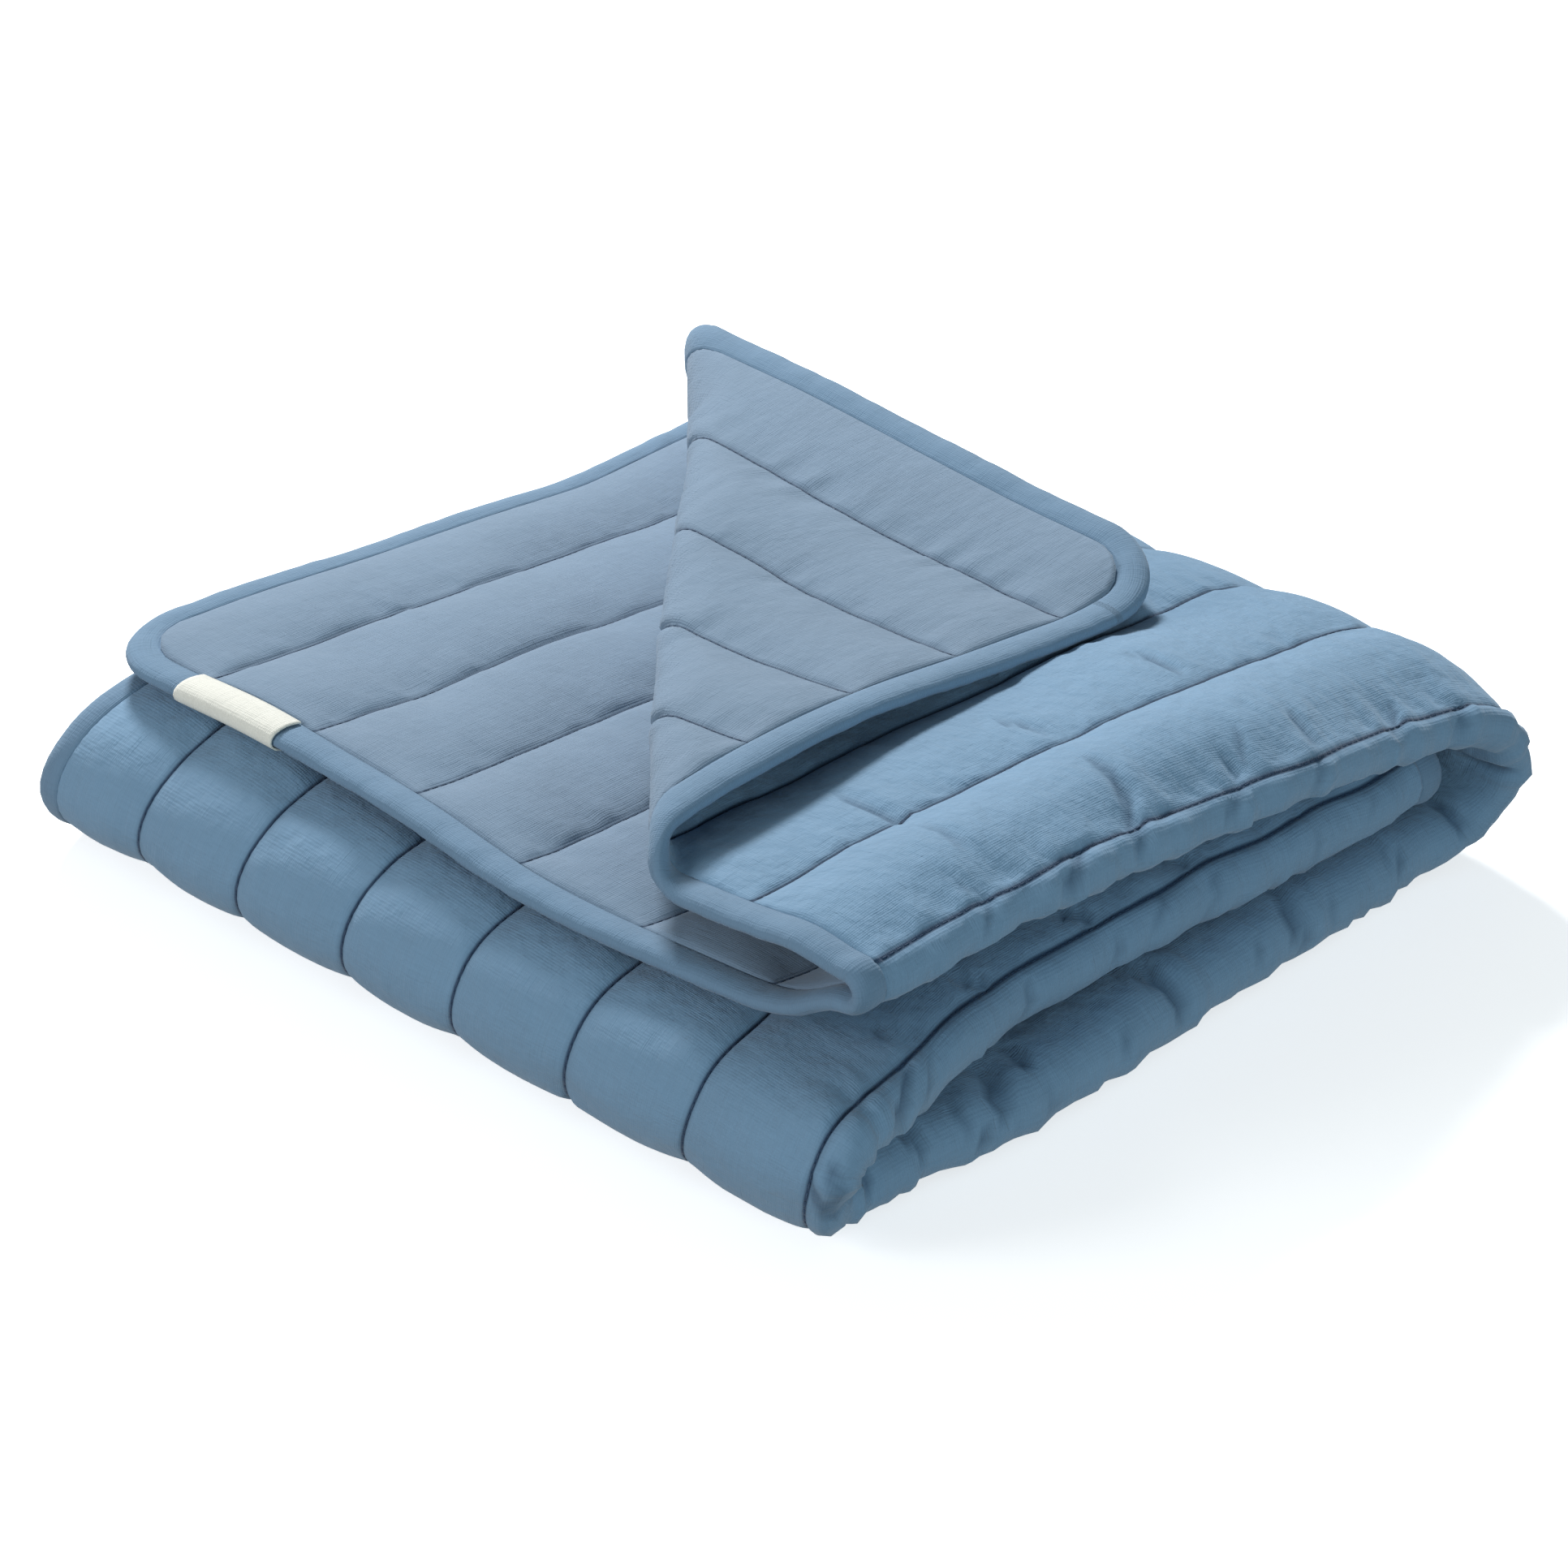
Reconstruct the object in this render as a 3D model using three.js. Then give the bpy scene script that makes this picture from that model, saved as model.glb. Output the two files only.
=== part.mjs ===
import * as THREE from "three";

// A quilted crib blanket: folded in half along its middle line, then in three, one corner turned back.
// Millimetres, +Z up. The folded side of the half fold faces +X, the big round fold faces -Y.
// A place on the flat blanket is [across, along]: across runs over the channels, from the half that
// lies open on top (-350) to the half that is turned back (350), and along runs down the channels.

// The blanket as it is cut.
const flatWidth = 700;
const flatLength = 970;
const channelCount = 14;
const channelWidth = flatWidth / channelCount;
const edgeAcross = flatWidth / 2;
const cornerRadius = 34;
const bindingWidth = 10;
const pieceGap = 0.6;

// Half of the quilt's thickness at a seam, at the crown of a channel and at its bound edge.
const seamHalf = 1.7;
const crownHalf = 4.7;
const edgeHalf = 2.3;
const edgeTaper = 14;

// The height at which the undersides of the lowest channels are pressed flat.
const restHeight = 1.2;

// The doubled strip, station by station, in the three passes that lie on one another.
// foldedY and foldedZ place its middle at the folded side, openY and openZ at the open side;
// reach is where the folded side ends in X, and the gaps are half the distance between the two halves.
// In the top pass the gap grows by belly beside the half fold, the fold is raised by rise, and it has
// slipped off its line by slip; a row without them has none.
const columns = ["foldedY", "foldedZ", "openY", "openZ", "reach", "foldedGap", "openGap", "belly", "rise", "slip"];
const topPass = [
  [-143, 77, -156, 73.5, 170, 5.2, 8.8, 8.2, 5.4, 2.7],
  [-58, 77, -59, 68, 173.6, 4.8, 6.3, 13, 10.2, 1.2],
  [36, 77.7, 43, 63.6, 175.6, 4.8, 7.6, 12.8, 5.8, 2.7],
  [113, 71, 119, 58.5, 165, 4.9, 5.5, 5.3, -5.5, 2.3],
];
const bottomPass = [
  [127, 10.6, 124.5, 10.4, 152, 6.6, 5.8],
  [38, 11.0, 41, 11.2, 159, 7.0, 6.0],
  [-63, 10.8, -61, 11.2, 168, 6.8, 6.0],
  [-138.5, 10.2, -136.5, 10.4, 164, 5.8, 5.8],
];
const middlePass = [
  [-150.5, 43.0, -143, 48.5, 180, 5.8, 5.8],
  [-63, 39.0, -62.5, 37.2, 153, 6.0, 6.0],
  [43.5, 38.0, 44, 36.0, 151, 7.3, 6.0],
  [133, 36.5, 125, 35.0, 149, 7.5, 6.0],
];

// The two turns between the passes: how far each bulges past the stations that it joins,
// and how low its belly hangs (1 is an even half circle).
const backTurn = { side: 1, foldedBulge: 35, openBulge: 28.5, sag: 1 };
const frontTurn = { side: -1, foldedBulge: 14.5, openBulge: 38, sag: 1.27 };

// The half fold: it runs beside the middle seam, it is pressed flatter and pushed out in the turns,
// and the gap between the halves settles within a short way of it.
const halfFold = {
  across: -8.5,
  squeeze: 0.25,
  push: 6.6,
  settle: 108,
  upperDraw: 0.955,
  bellyLength: 18,
  riseLength: 25,
};

// The stretch of the lower half's edge that has slid out over the front fold and sags there.
const slump = { across: -135, width: 62, length: 60, out: 6.5, down: 3 };

// The corner that is turned back: its fold bows a little from [startAcross, 0] to [350, endAlong]. The roll
// rises round a foot, up a wall and over a crest, each with its size at the start, the middle and the end of
// the fold, and the cloth is squeezed thin in it. The cloth under it is pressed down a little, and the turned
// cloth curls up towards its long bound edge.
const turnedCorner = {
  startAcross: 67.5,
  endAlong: 286,
  bow: -12.8,
  foot: [6.4, 4.5, 20],
  wall: [0, 15, 0],
  crest: [7.2, 5, 5],
  turn: [170, 185, 182],
  press: [3.8, 5, 1.5],
  spread: 60,
  ease: 35,
  curl: 13.4,
  curlWidth: 60,
  tightHalf: 2.4,
  tightSpread: 10,
};

// Sizes of the mesh: stations in the strip, the longest step along it and the steps of a turn.
const stationCount = 401;
const longestStep = 40;
const turnStep = THREE.MathUtils.degToRad(17);
const footSteps = 5;
const crestSteps = 7;

const mix = THREE.MathUtils.lerp;
const clamp = THREE.MathUtils.clamp;

// The strip of stations

function blended(from, to, share) {
  const made = {};
  for (const name of Object.keys(from)) made[name] = mix(from[name], to[name], share);
  return made;
}

function named(row) {
  const station = { pinch: 0 };
  columns.forEach((name, i) => {
    station[name] = row[i] ?? 0;
  });
  return station;
}

function passStations(rows, count = 60) {
  return Array.from({ length: count }, (_, i) => {
    const place = (i / (count - 1)) * (rows.length - 1);
    const low = Math.min(Math.floor(place), rows.length - 2);
    return blended(named(rows[low]), named(rows[low + 1]), place - low);
  });
}

function turnStations(from, to, turn, count = 40) {
  return Array.from({ length: count }, (_, i) => {
    const angle = (Math.PI * (i + 1)) / (count + 1);
    const share = (1 - Math.cos(angle)) / 2;
    const station = blended(from, to, share);
    const climb = share ** turn.sag;
    station.foldedZ = mix(from.foldedZ, to.foldedZ, climb);
    station.openZ = mix(from.openZ, to.openZ, climb);
    station.foldedY += turn.side * turn.foldedBulge * Math.sin(angle);
    station.openY += turn.side * turn.openBulge * Math.sin(angle);
    station.pinch = Math.sin(angle);
    return station;
  });
}

// Adds to each station how far along the cloth it lies.
function measured(stations) {
  let along = 0;
  return stations.map((station, i) => {
    if (i > 0) {
      const last = stations[i - 1];
      const folded = Math.hypot(station.foldedY - last.foldedY, station.foldedZ - last.foldedZ);
      const open = Math.hypot(station.openY - last.openY, station.openZ - last.openZ);
      along += (folded + open) / 2;
    }
    return { ...station, along };
  });
}

// The station at any place along the strip; past its ends it runs straight on.
function stationAt(strip, place) {
  let low = 0;
  let high = strip.length - 1;
  while (high - low > 1) {
    const middle = (low + high) >> 1;
    if (strip[middle].along > place) high = middle;
    else low = middle;
  }
  const length = strip[high].along - strip[low].along;
  return blended(strip[low], strip[high], (place - strip[low].along) / length);
}

function evenlySpaced(strip, count) {
  const step = strip.at(-1).along / (count - 1);
  return Array.from({ length: count }, (_, i) => stationAt(strip, i * step));
}

function softened(stations, times) {
  let now = stations;
  for (let n = 0; n < times; n++) {
    now = now.map((station, i) => {
      if (i === 0 || i === now.length - 1) return station;
      return blended(station, blended(now[i - 1], now[i + 1], 0.5), 0.5);
    });
  }
  return now;
}

function foldedStrip() {
  const top = passStations(topPass);
  const bottom = passStations(bottomPass);
  const middle = passStations(middlePass);
  const joined = measured([
    ...top,
    ...turnStations(top.at(-1), bottom[0], backTurn),
    ...bottom,
    ...turnStations(bottom.at(-1), middle[0], frontTurn),
    ...middle,
  ]);
  return measured(softened(evenlySpaced(joined, stationCount), 14));
}

const strip = foldedStrip();
const foldedLength = strip.at(-1).along;
if (Math.abs(foldedLength - flatLength) > 8)
  throw new Error("the folded strip is " + foldedLength.toFixed(1) + " mm long");

// The middle surface of the folded cloth

// Where the half fold puts a place: x, how far it stands off the middle of the doubled strip, and on which side.
function halfFolded(station, across) {
  const fold = halfFold.across + station.slip;
  const side = across >= fold ? 1 : -1;
  const away = Math.abs(across - fold);
  const radius = station.foldedGap * (1 - halfFold.squeeze * station.pinch);
  const centre = station.reach + halfFold.push * station.pinch - radius;
  const quarter = (Math.PI * radius) / 2;
  if (away < quarter) {
    const angle = away / radius;
    const x = centre + radius * Math.cos(angle);
    return { x, gap: radius * Math.sin(angle), room: radius, centre, radius, side, rise: station.rise };
  }
  const run = (away - quarter) * (side > 0 ? halfFold.upperDraw : 1);
  const swollen = radius + station.belly * (1 - Math.exp(-((run / halfFold.bellyLength) ** 2)));
  const gap = mix(station.openGap, swollen, Math.exp(-((run / halfFold.settle) ** 2)));
  const rise = station.rise * Math.exp(-((run / halfFold.riseLength) ** 2));
  return { x: centre - run, gap, room: gap, centre, radius, side, rise };
}

// The place on the line between the folded and the open side of a station.
function middleOf(station, share) {
  return [mix(station.foldedY, station.openY, share), mix(station.foldedZ, station.openZ, share)];
}

function lyingPoint(across, along) {
  const station = stationAt(strip, along);
  const fold = halfFolded(station, across);
  const share = clamp((fold.centre + fold.radius - fold.x) / edgeAcross, 0, 1);
  const [y, z] = middleOf(station, share);
  const before = middleOf(stationAt(strip, along - 1.5), share);
  const after = middleOf(stationAt(strip, along + 1.5), share);
  const run = [after[0] - before[0], after[1] - before[1]];
  const length = Math.hypot(...run);
  const off = fold.gap * fold.side;
  const near = across < 0 ? Math.exp(-(((across - slump.across) / slump.width) ** 2) - (along / slump.length) ** 2) : 0;
  return new THREE.Vector3(
    fold.x,
    y - (run[1] / length) * off - slump.out * near,
    z + (run[0] / length) * off - slump.down * near + fold.rise,
  );
}

// The turned corner's fold line: a unit step along it and one away from it, towards the corner.
const foldRun = new THREE.Vector2(edgeAcross - turnedCorner.startAcross, turnedCorner.endAlong);
const foldSpan = foldRun.length();
foldRun.normalize();
const foldAway = new THREE.Vector2(foldRun.y, -foldRun.x);

// How far a place lies past the fold line, and where on that line it belongs, from 0 to 1.
function cornerPlace(across, along) {
  const place = new THREE.Vector2(across - turnedCorner.startAcross, along);
  const share = place.dot(foldRun) / foldSpan;
  const held = clamp(share, 0, 1);
  return { past: place.dot(foldAway) + turnedCorner.bow * 4 * held * (1 - held), share };
}

// A size of the roll at a share of the fold line, from its start, middle and end.
function rollSize([start, middle, end], share) {
  const place = clamp(share, -0.1, 1.1);
  return mix(start, end, place) + 4 * place * (1 - place) * (middle - (start + end) / 2);
}

// The sizes of the roll's section, and how much cloth its foot, wall and crest take up.
function rollSection(share) {
  const foot = rollSize(turnedCorner.foot, share);
  const wall = rollSize(turnedCorner.wall, share);
  const crest = rollSize(turnedCorner.crest, share);
  const turn = THREE.MathUtils.degToRad(rollSize(turnedCorner.turn, share));
  const footEnd = (foot * Math.PI) / 2;
  const wallEnd = footEnd + wall;
  const crestEnd = wallEnd + crest * (turn - Math.PI / 2);
  return { foot, wall, crest, turn, footEnd, wallEnd, crestEnd };
}

// Carries a place over the roll: how far it comes to lie out from the fold line, and how high.
function rolled(past, share) {
  const { foot, wall, crest, turn, footEnd, wallEnd, crestEnd } = rollSection(share);
  const first = Math.min(past / foot, Math.PI / 2);
  const upright = clamp(past - footEnd, 0, wall);
  const over = clamp((past - wallEnd) / crest, 0, turn - Math.PI / 2);
  const rest = Math.max(past - crestEnd, 0);
  return {
    out: foot * Math.sin(first) + crest * (Math.cos(over) - 1) + rest * Math.cos(turn),
    rise: foot * (1 - Math.cos(first)) + upright + crest * Math.sin(over) + rest * Math.sin(turn),
  };
}

function clothPoint(across, along) {
  const inCorner = across > 0 && along < endOfCorner;
  if (!inCorner) return lyingPoint(across, along);
  const { past, share } = cornerPlace(across, along);
  const press = rollSize(turnedCorner.press, share);
  if (past <= 0) {
    const point = lyingPoint(across, along);
    const eased = clamp(across / turnedCorner.ease, 0, 1) * clamp((endOfCorner - along) / turnedCorner.ease, 0, 1);
    point.z -= press * eased * Math.exp(-((past / turnedCorner.spread) ** 2));
    return point;
  }
  const point = lyingPoint(across - foldAway.x * past, along - foldAway.y * past);
  const { out, rise } = rolled(past, share);
  const near = clamp((across - edgeAcross + turnedCorner.curlWidth) / turnedCorner.curlWidth, 0, 1.2);
  const curled = turnedCorner.curl * near ** 2 * clamp(past / 40, 0, 1);
  point.x -= foldAway.x * out;
  point.y += foldAway.y * out;
  point.z += rise + curled - press;
  return point;
}

const endOfCorner = 340;

// Points out of the outer cloth.
function clothNormal(across, along) {
  const step = 0.4;
  const overAcross = clothPoint(across + step, along).sub(clothPoint(across - step, along));
  const overAlong = clothPoint(across, along + step).sub(clothPoint(across, along - step));
  return overAlong.cross(overAcross).normalize();
}

// The quilted body

// How thick half of the quilt can be: little in the roll of the turned corner, anything away from it.
function squeezedHalf(across, along) {
  if (across < 0 || along > turnedCorner.endAlong) return Infinity;
  const { past, share } = cornerPlace(across, along);
  const away = Math.max(-past, past - rollSection(share).crestEnd, 0) / turnedCorner.tightSpread;
  return turnedCorner.tightHalf + 9 * (1 - Math.exp(-(away ** 2)));
}

// Half of the thickness: thin at each seam and at the binding, full between, less where the halves meet.
function halfThickness(across, along) {
  const inChannel = Math.abs(Math.sin((Math.PI * (across + edgeAcross)) / channelWidth));
  const full = mix(seamHalf, crownHalf, inChannel ** 0.55);
  const toEdge = Math.min(edgeAcross - Math.abs(across), along, foldedLength - along) - bindingWidth;
  const quilted = mix(edgeHalf, full, clamp(toEdge / edgeTaper, 0, 1) ** 0.5);
  const room = halfFolded(stationAt(strip, along), across).room * 0.7;
  return Math.min(quilted, room, squeezedHalf(across, along));
}

// The rounded outline of the cloth, drawn in by an inset: the outward direction at a place near it.
function outwardAt([across, along], inset) {
  const radius = cornerRadius - inset;
  const flatX = edgeAcross - inset - radius;
  const low = inset + radius;
  const high = foldedLength - inset - radius;
  const offX = across - clamp(across, -flatX, flatX);
  const offY = along - clamp(along, low, high);
  return new THREE.Vector2(offX, offY).normalize();
}

// The parts of a convex polygon on both sides of the line where sideOf is 0.
function split(polygon, sideOf) {
  const inside = [];
  const outside = [];
  polygon.forEach((point, i) => {
    const next = polygon[(i + 1) % polygon.length];
    const here = sideOf(point);
    const there = sideOf(next);
    if (here >= 0) inside.push(point);
    if (here <= 0) outside.push(point);
    if (here * there < 0) {
      const share = here / (here - there);
      const cut = [mix(point[0], next[0], share), mix(point[1], next[1], share)];
      inside.push(cut);
      outside.push(cut);
    }
  });
  return { inside, outside };
}

// The chords that round the four corners of an outline drawn in by an inset, as half planes.
function cornerChords(inset, chordCount) {
  const radius = cornerRadius - inset;
  const chords = [];
  for (const side of [-1, 1]) {
    for (const end of [0, 1]) {
      const centre = [
        side * (edgeAcross - inset - radius),
        end ? foldedLength - inset - radius : inset + radius,
      ];
      for (let n = 0; n < chordCount; n++) {
        const angle = (Math.PI / 2) * ((n + 0.5) / chordCount);
        const facing = [side * Math.cos(angle), (end ? 1 : -1) * Math.sin(angle)];
        const reach = radius * Math.cos(Math.PI / 4 / chordCount);
        chords.push(([across, along]) => {
          const out = (across - centre[0]) * facing[0] + (along - centre[1]) * facing[1];
          return reach - out;
        });
      }
    }
  }
  return chords;
}

// Grid lines over the channels: each seam, both shoulders of each crown, and closer ones at the half fold.
function linesAcross() {
  const limit = edgeAcross - bindingWidth;
  const lines = [-limit, -limit + 7, limit - 7, limit];
  for (let n = 0; n < channelCount; n++) {
    const seam = -edgeAcross + n * channelWidth;
    for (const share of [0, 0.27, 0.73]) {
      const line = seam + share * channelWidth;
      if (Math.abs(line) < limit - 12) lines.push(line);
    }
  }
  for (const step of [-21, -14, -8, -3, 2, 5.5, 8.5, 12, 16, 21, 28]) lines.push(halfFold.across + step);
  return lines.sort((one, other) => one - other).filter((line, i, all) => i === 0 || line - all[i - 1] > 2);
}

// Grid lines along the strip: long steps where it lies straight and short ones in its turns.
function linesAlong() {
  const first = bindingWidth;
  const last = foldedLength - bindingWidth;
  const lines = [first, first + 9];
  let turned = 0;
  let heading = null;
  for (let along = first + 9; along < last - 9; along += 1) {
    const from = stationAt(strip, along - 1);
    const to = stationAt(strip, along + 1);
    const now = ["folded", "open"].map((side) => {
      return Math.atan2(to[side + "Z"] - from[side + "Z"], to[side + "Y"] - from[side + "Y"]);
    });
    if (heading) {
      const bends = now.map((angle, i) => {
        const change = angle - heading[i];
        return Math.abs(Math.atan2(Math.sin(change), Math.cos(change)));
      });
      turned += Math.max(...bends);
    }
    heading = now;
    const step = along - lines.at(-1);
    if ((step > longestStep || turned > turnStep) && step > 4 && last - 9 - along > 4) {
      lines.push(along);
      turned = 0;
    }
  }
  lines.push(last - 9, last);
  return lines;
}

// Lines along the roll of the turned corner, one for each step of its foot and of its crest.
function rollLines() {
  const lines = [];
  for (let n = 0; n <= footSteps; n++) lines.push(({ footEnd }) => (footEnd * n) / footSteps);
  for (let n = 0; n <= crestSteps; n++) {
    lines.push(({ wallEnd, crestEnd }) => mix(wallEnd, crestEnd, n / crestSteps));
  }
  return lines.map((line) => ([across, along]) => {
    const { past, share } = cornerPlace(across, along);
    return line(rollSection(share)) - past;
  });
}

// The flat body as a net of triangles over shared points, with the loop of its rim.
function flatNet() {
  const across = linesAcross();
  const along = linesAlong();
  const chords = cornerChords(bindingWidth, 3);
  const rolls = rollLines();
  const points = [];
  const known = new Map();
  const pointIndex = (point) => {
    const key = point.map((value) => Math.round(value * 1e3)).join();
    if (!known.has(key)) {
      known.set(key, points.length);
      points.push(point);
    }
    return known.get(key);
  };
  const triangles = [];
  for (let i = 0; i + 1 < across.length; i++) {
    for (let j = 0; j + 1 < along.length; j++) {
      let cells = [
        [
          [across[i], along[j]],
          [across[i], along[j + 1]],
          [across[i + 1], along[j + 1]],
          [across[i + 1], along[j]],
        ],
      ];
      for (const chord of chords) cells = cells.map((cell) => split(cell, chord).inside);
      if (across[i] >= 0 && along[j] < endOfCorner) {
        for (const line of rolls) {
          cells = cells.flatMap((cell) => {
            const { inside, outside } = split(cell, line);
            return [inside, outside];
          });
        }
      }
      for (const cell of cells) {
        const corners = cell.map(pointIndex).filter((index, k, all) => index !== all[(k + 1) % all.length]);
        for (let k = 1; k + 1 < corners.length; k++) triangles.push([corners[0], corners[k], corners[k + 1]]);
      }
    }
  }
  return { points, triangles, rim: rimOf(triangles) };
}

// The loop of edges that only one triangle has.
function rimOf(triangles) {
  const next = new Map();
  for (const corners of triangles) {
    corners.forEach((from, k) => {
      const to = corners[(k + 1) % 3];
      if (next.get(to) === from) return;
      next.set(from + "," + to, true);
    });
  }
  const single = new Map();
  for (const key of next.keys()) {
    const [from, to] = key.split(",").map(Number);
    if (!next.has(to + "," + from)) single.set(from, to);
  }
  const start = single.keys().next().value;
  const loop = [start];
  while (single.get(loop.at(-1)) !== start) loop.push(single.get(loop.at(-1)));
  return loop;
}

function meshGeometry(points, triangles) {
  const geometry = new THREE.BufferGeometry();
  geometry.setAttribute("position", new THREE.Float32BufferAttribute(points.flatMap((point) => point.toArray()), 3));
  geometry.setIndex(triangles.flat());
  return geometry;
}

// A point of the cloth's face, pressed flat where it meets the surface that the blanket lies on.
function facePoint(across, along, off) {
  const point = clothPoint(across, along).addScaledVector(clothNormal(across, along), off);
  point.z = Math.max(point.z, restHeight);
  return point;
}

function quiltedBody(net) {
  const count = net.points.length;
  const outer = net.points.map((point) => facePoint(...point, halfThickness(...point)));
  const inner = net.points.map((point) => facePoint(...point, -halfThickness(...point)));
  const triangles = [];
  for (const [a, b, c] of net.triangles) {
    triangles.push([a, b, c], [count + a, count + c, count + b]);
  }
  net.rim.forEach((from, k) => {
    const to = net.rim[(k + 1) % net.rim.length];
    triangles.push([to, from, count + from], [to, count + from, count + to]);
  });
  return meshGeometry([...outer, ...inner], triangles);
}

// The binding and the label

// A closed section swept round the rim: each of its points is [outward from the body's edge, off the cloth].
const bindingSection = [
  [0, 2.3],
  [0, -2.3],
  [4.5, -3.0],
  [9.7, -1.3],
  [9.7, 1.3],
  [4.5, 3.0],
];

function sweptPoint(place, outward, [out, off]) {
  const across = place[0] + outward.x * out;
  const along = place[1] + outward.y * out;
  return facePoint(across, along, off);
}

function binding(net) {
  const size = bindingSection.length;
  const points = [];
  for (const index of net.rim) {
    const place = net.points[index];
    const outward = outwardAt(place, bindingWidth);
    for (const [out, off] of bindingSection) points.push(sweptPoint(place, outward, [out + pieceGap, off]));
  }
  const triangles = [];
  net.rim.forEach((_, k) => {
    const here = k * size;
    const there = ((k + 1) % net.rim.length) * size;
    for (let n = 0; n < size; n++) {
      const m = (n + 1) % size;
      triangles.push([here + n, there + n, there + m], [here + n, there + m, here + m]);
    }
  });
  return meshGeometry(points, triangles);
}

// The tape is folded over the binding of the short edge: the inside of the fold, then the outside.
const label = { from: -302, to: -255, steps: 4 };
const labelInside = [
  [0.7, 2.8],
  [4.5, 3.4],
  [10.7, 1.7],
  [10.7, -1.7],
  [4.5, -3.4],
  [0.7, -2.8],
];
const labelOutside = [
  [0.7, 3.6],
  [4.6, 4.2],
  [11.5, 2.1],
  [11.5, -2.1],
  [4.6, -4.2],
  [0.7, -3.6],
];

function labelTape() {
  const section = [...labelInside, ...[...labelOutside].reverse()];
  const size = section.length;
  const points = [];
  const outward = new THREE.Vector2(0, -1);
  for (let i = 0; i <= label.steps; i++) {
    const place = [mix(label.from, label.to, i / label.steps), bindingWidth];
    for (const corner of section) points.push(sweptPoint(place, outward, corner));
  }
  const triangles = [];
  for (let i = 0; i < label.steps; i++) {
    for (let n = 0; n < size; n++) {
      const m = (n + 1) % size;
      const here = i * size;
      const there = here + size;
      triangles.push([here + n, there + n, there + m], [here + n, there + m, here + m]);
    }
  }
  const last = label.steps * size;
  for (let n = 0; n < labelInside.length - 1; n++) {
    const facing = [size - 1 - n, size - 2 - n];
    triangles.push([n, n + 1, facing[1]], [n, facing[1], facing[0]]);
    triangles.push([last + n, last + facing[1], last + n + 1], [last + n, last + facing[0], last + facing[1]]);
  }
  return meshGeometry(points, triangles);
}

// Each piece as a named mesh with its own finish

function signedVolume(geometry) {
  const corner = [new THREE.Vector3(), new THREE.Vector3(), new THREE.Vector3()];
  const { index, attributes } = geometry;
  let volume = 0;
  for (let i = 0; i < index.count; i += 3) {
    corner.forEach((point, k) => point.fromBufferAttribute(attributes.position, index.getX(i + k)));
    volume += corner[0].dot(corner[1].clone().cross(corner[2])) / 6;
  }
  return volume;
}

// Turns every face round where a geometry has come out facing in.
function facingOut(geometry) {
  if (signedVolume(geometry) > 0) return geometry;
  const turned = [];
  for (let i = 0; i < geometry.index.count; i += 3) {
    turned.push(geometry.index.getX(i), geometry.index.getX(i + 2), geometry.index.getX(i + 1));
  }
  return geometry.setIndex(turned);
}

function piece(name, geometry, finish) {
  const made = new THREE.Mesh(facingOut(geometry), new THREE.MeshStandardMaterial({ metalness: 0, ...finish }));
  made.name = name;
  return made;
}

const net = flatNet();
const body = piece("quilted_body", quiltedBody(net), { color: 0x7595ad, roughness: 0.92 });
const edge = piece("edge_binding", binding(net), { color: 0x6d8ca4, roughness: 0.9 });
const tape = piece("label_tape", labelTape(), { color: 0xd9d5c8, roughness: 0.85 });

// The group stands with the middle of its footprint over the origin.
const blanket = new THREE.Group();
blanket.add(body, edge, tape);
const box = new THREE.Box3().setFromObject(blanket);
const middle = box.getCenter(new THREE.Vector3());
for (const mesh of blanket.children) mesh.position.set(-middle.x, -middle.y, -box.min.z);

export default blanket;
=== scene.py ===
"""A quilted crib blanket, folded in half and then in three, with one corner turned back.

Every length in the blanket's classes is in millimetres, in the frame in which the folds were drawn;
Placing moves a finished mesh to the frame of the part and turns it into metres. The studio and its
lights are in metres.
A place on the flat blanket is (across, along): across runs over the channels, from the half that
lies open on top (-350) to the half that is turned back (350), and along runs down the channels.
"""

import logging
import math
from dataclasses import dataclass, field
from enum import Enum

import bpy
import numpy as np
from mathutils import Matrix, Vector

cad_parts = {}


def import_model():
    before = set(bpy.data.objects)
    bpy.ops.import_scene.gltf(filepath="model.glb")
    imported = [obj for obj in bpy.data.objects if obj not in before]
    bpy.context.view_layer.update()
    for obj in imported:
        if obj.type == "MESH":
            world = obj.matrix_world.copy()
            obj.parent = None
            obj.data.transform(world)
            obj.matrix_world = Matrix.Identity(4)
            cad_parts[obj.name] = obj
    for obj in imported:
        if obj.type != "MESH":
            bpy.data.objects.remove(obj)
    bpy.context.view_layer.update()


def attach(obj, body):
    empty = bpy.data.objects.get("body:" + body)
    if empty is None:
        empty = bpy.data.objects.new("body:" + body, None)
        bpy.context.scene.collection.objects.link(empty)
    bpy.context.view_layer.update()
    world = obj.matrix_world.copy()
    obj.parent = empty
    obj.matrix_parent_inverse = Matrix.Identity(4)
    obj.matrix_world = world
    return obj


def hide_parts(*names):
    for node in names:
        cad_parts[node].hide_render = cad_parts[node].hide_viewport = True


LOG = logging.getLogger("crib_blanket")
MILLIMETRE = 0.001
PHOTO_PIXELS = 1932
SENSOR = 36.0
HALF_WIDTH = 350.0
LEAST_LENGTH = 1e-9


class Side(Enum):
    """The two faces of the quilt, with the sign that takes a point off its middle surface."""

    OUTER = 1
    LINING = -1


def blended(start: np.ndarray, end: np.ndarray, share: np.ndarray) -> np.ndarray:
    """Returns the values that lie a share of the way from start to end."""
    return start + (end - start) * share


def arched(height: float, share: np.ndarray) -> np.ndarray:
    """Returns the rise of a bow of a given height at a share of its span."""
    return height * 4 * share * (1 - share)


def unit(vectors: np.ndarray) -> np.ndarray:
    """Returns the vectors of an array's last axis at length one."""
    return vectors / np.maximum(np.linalg.norm(vectors, axis=-1, keepdims=True), LEAST_LENGTH)


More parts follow.
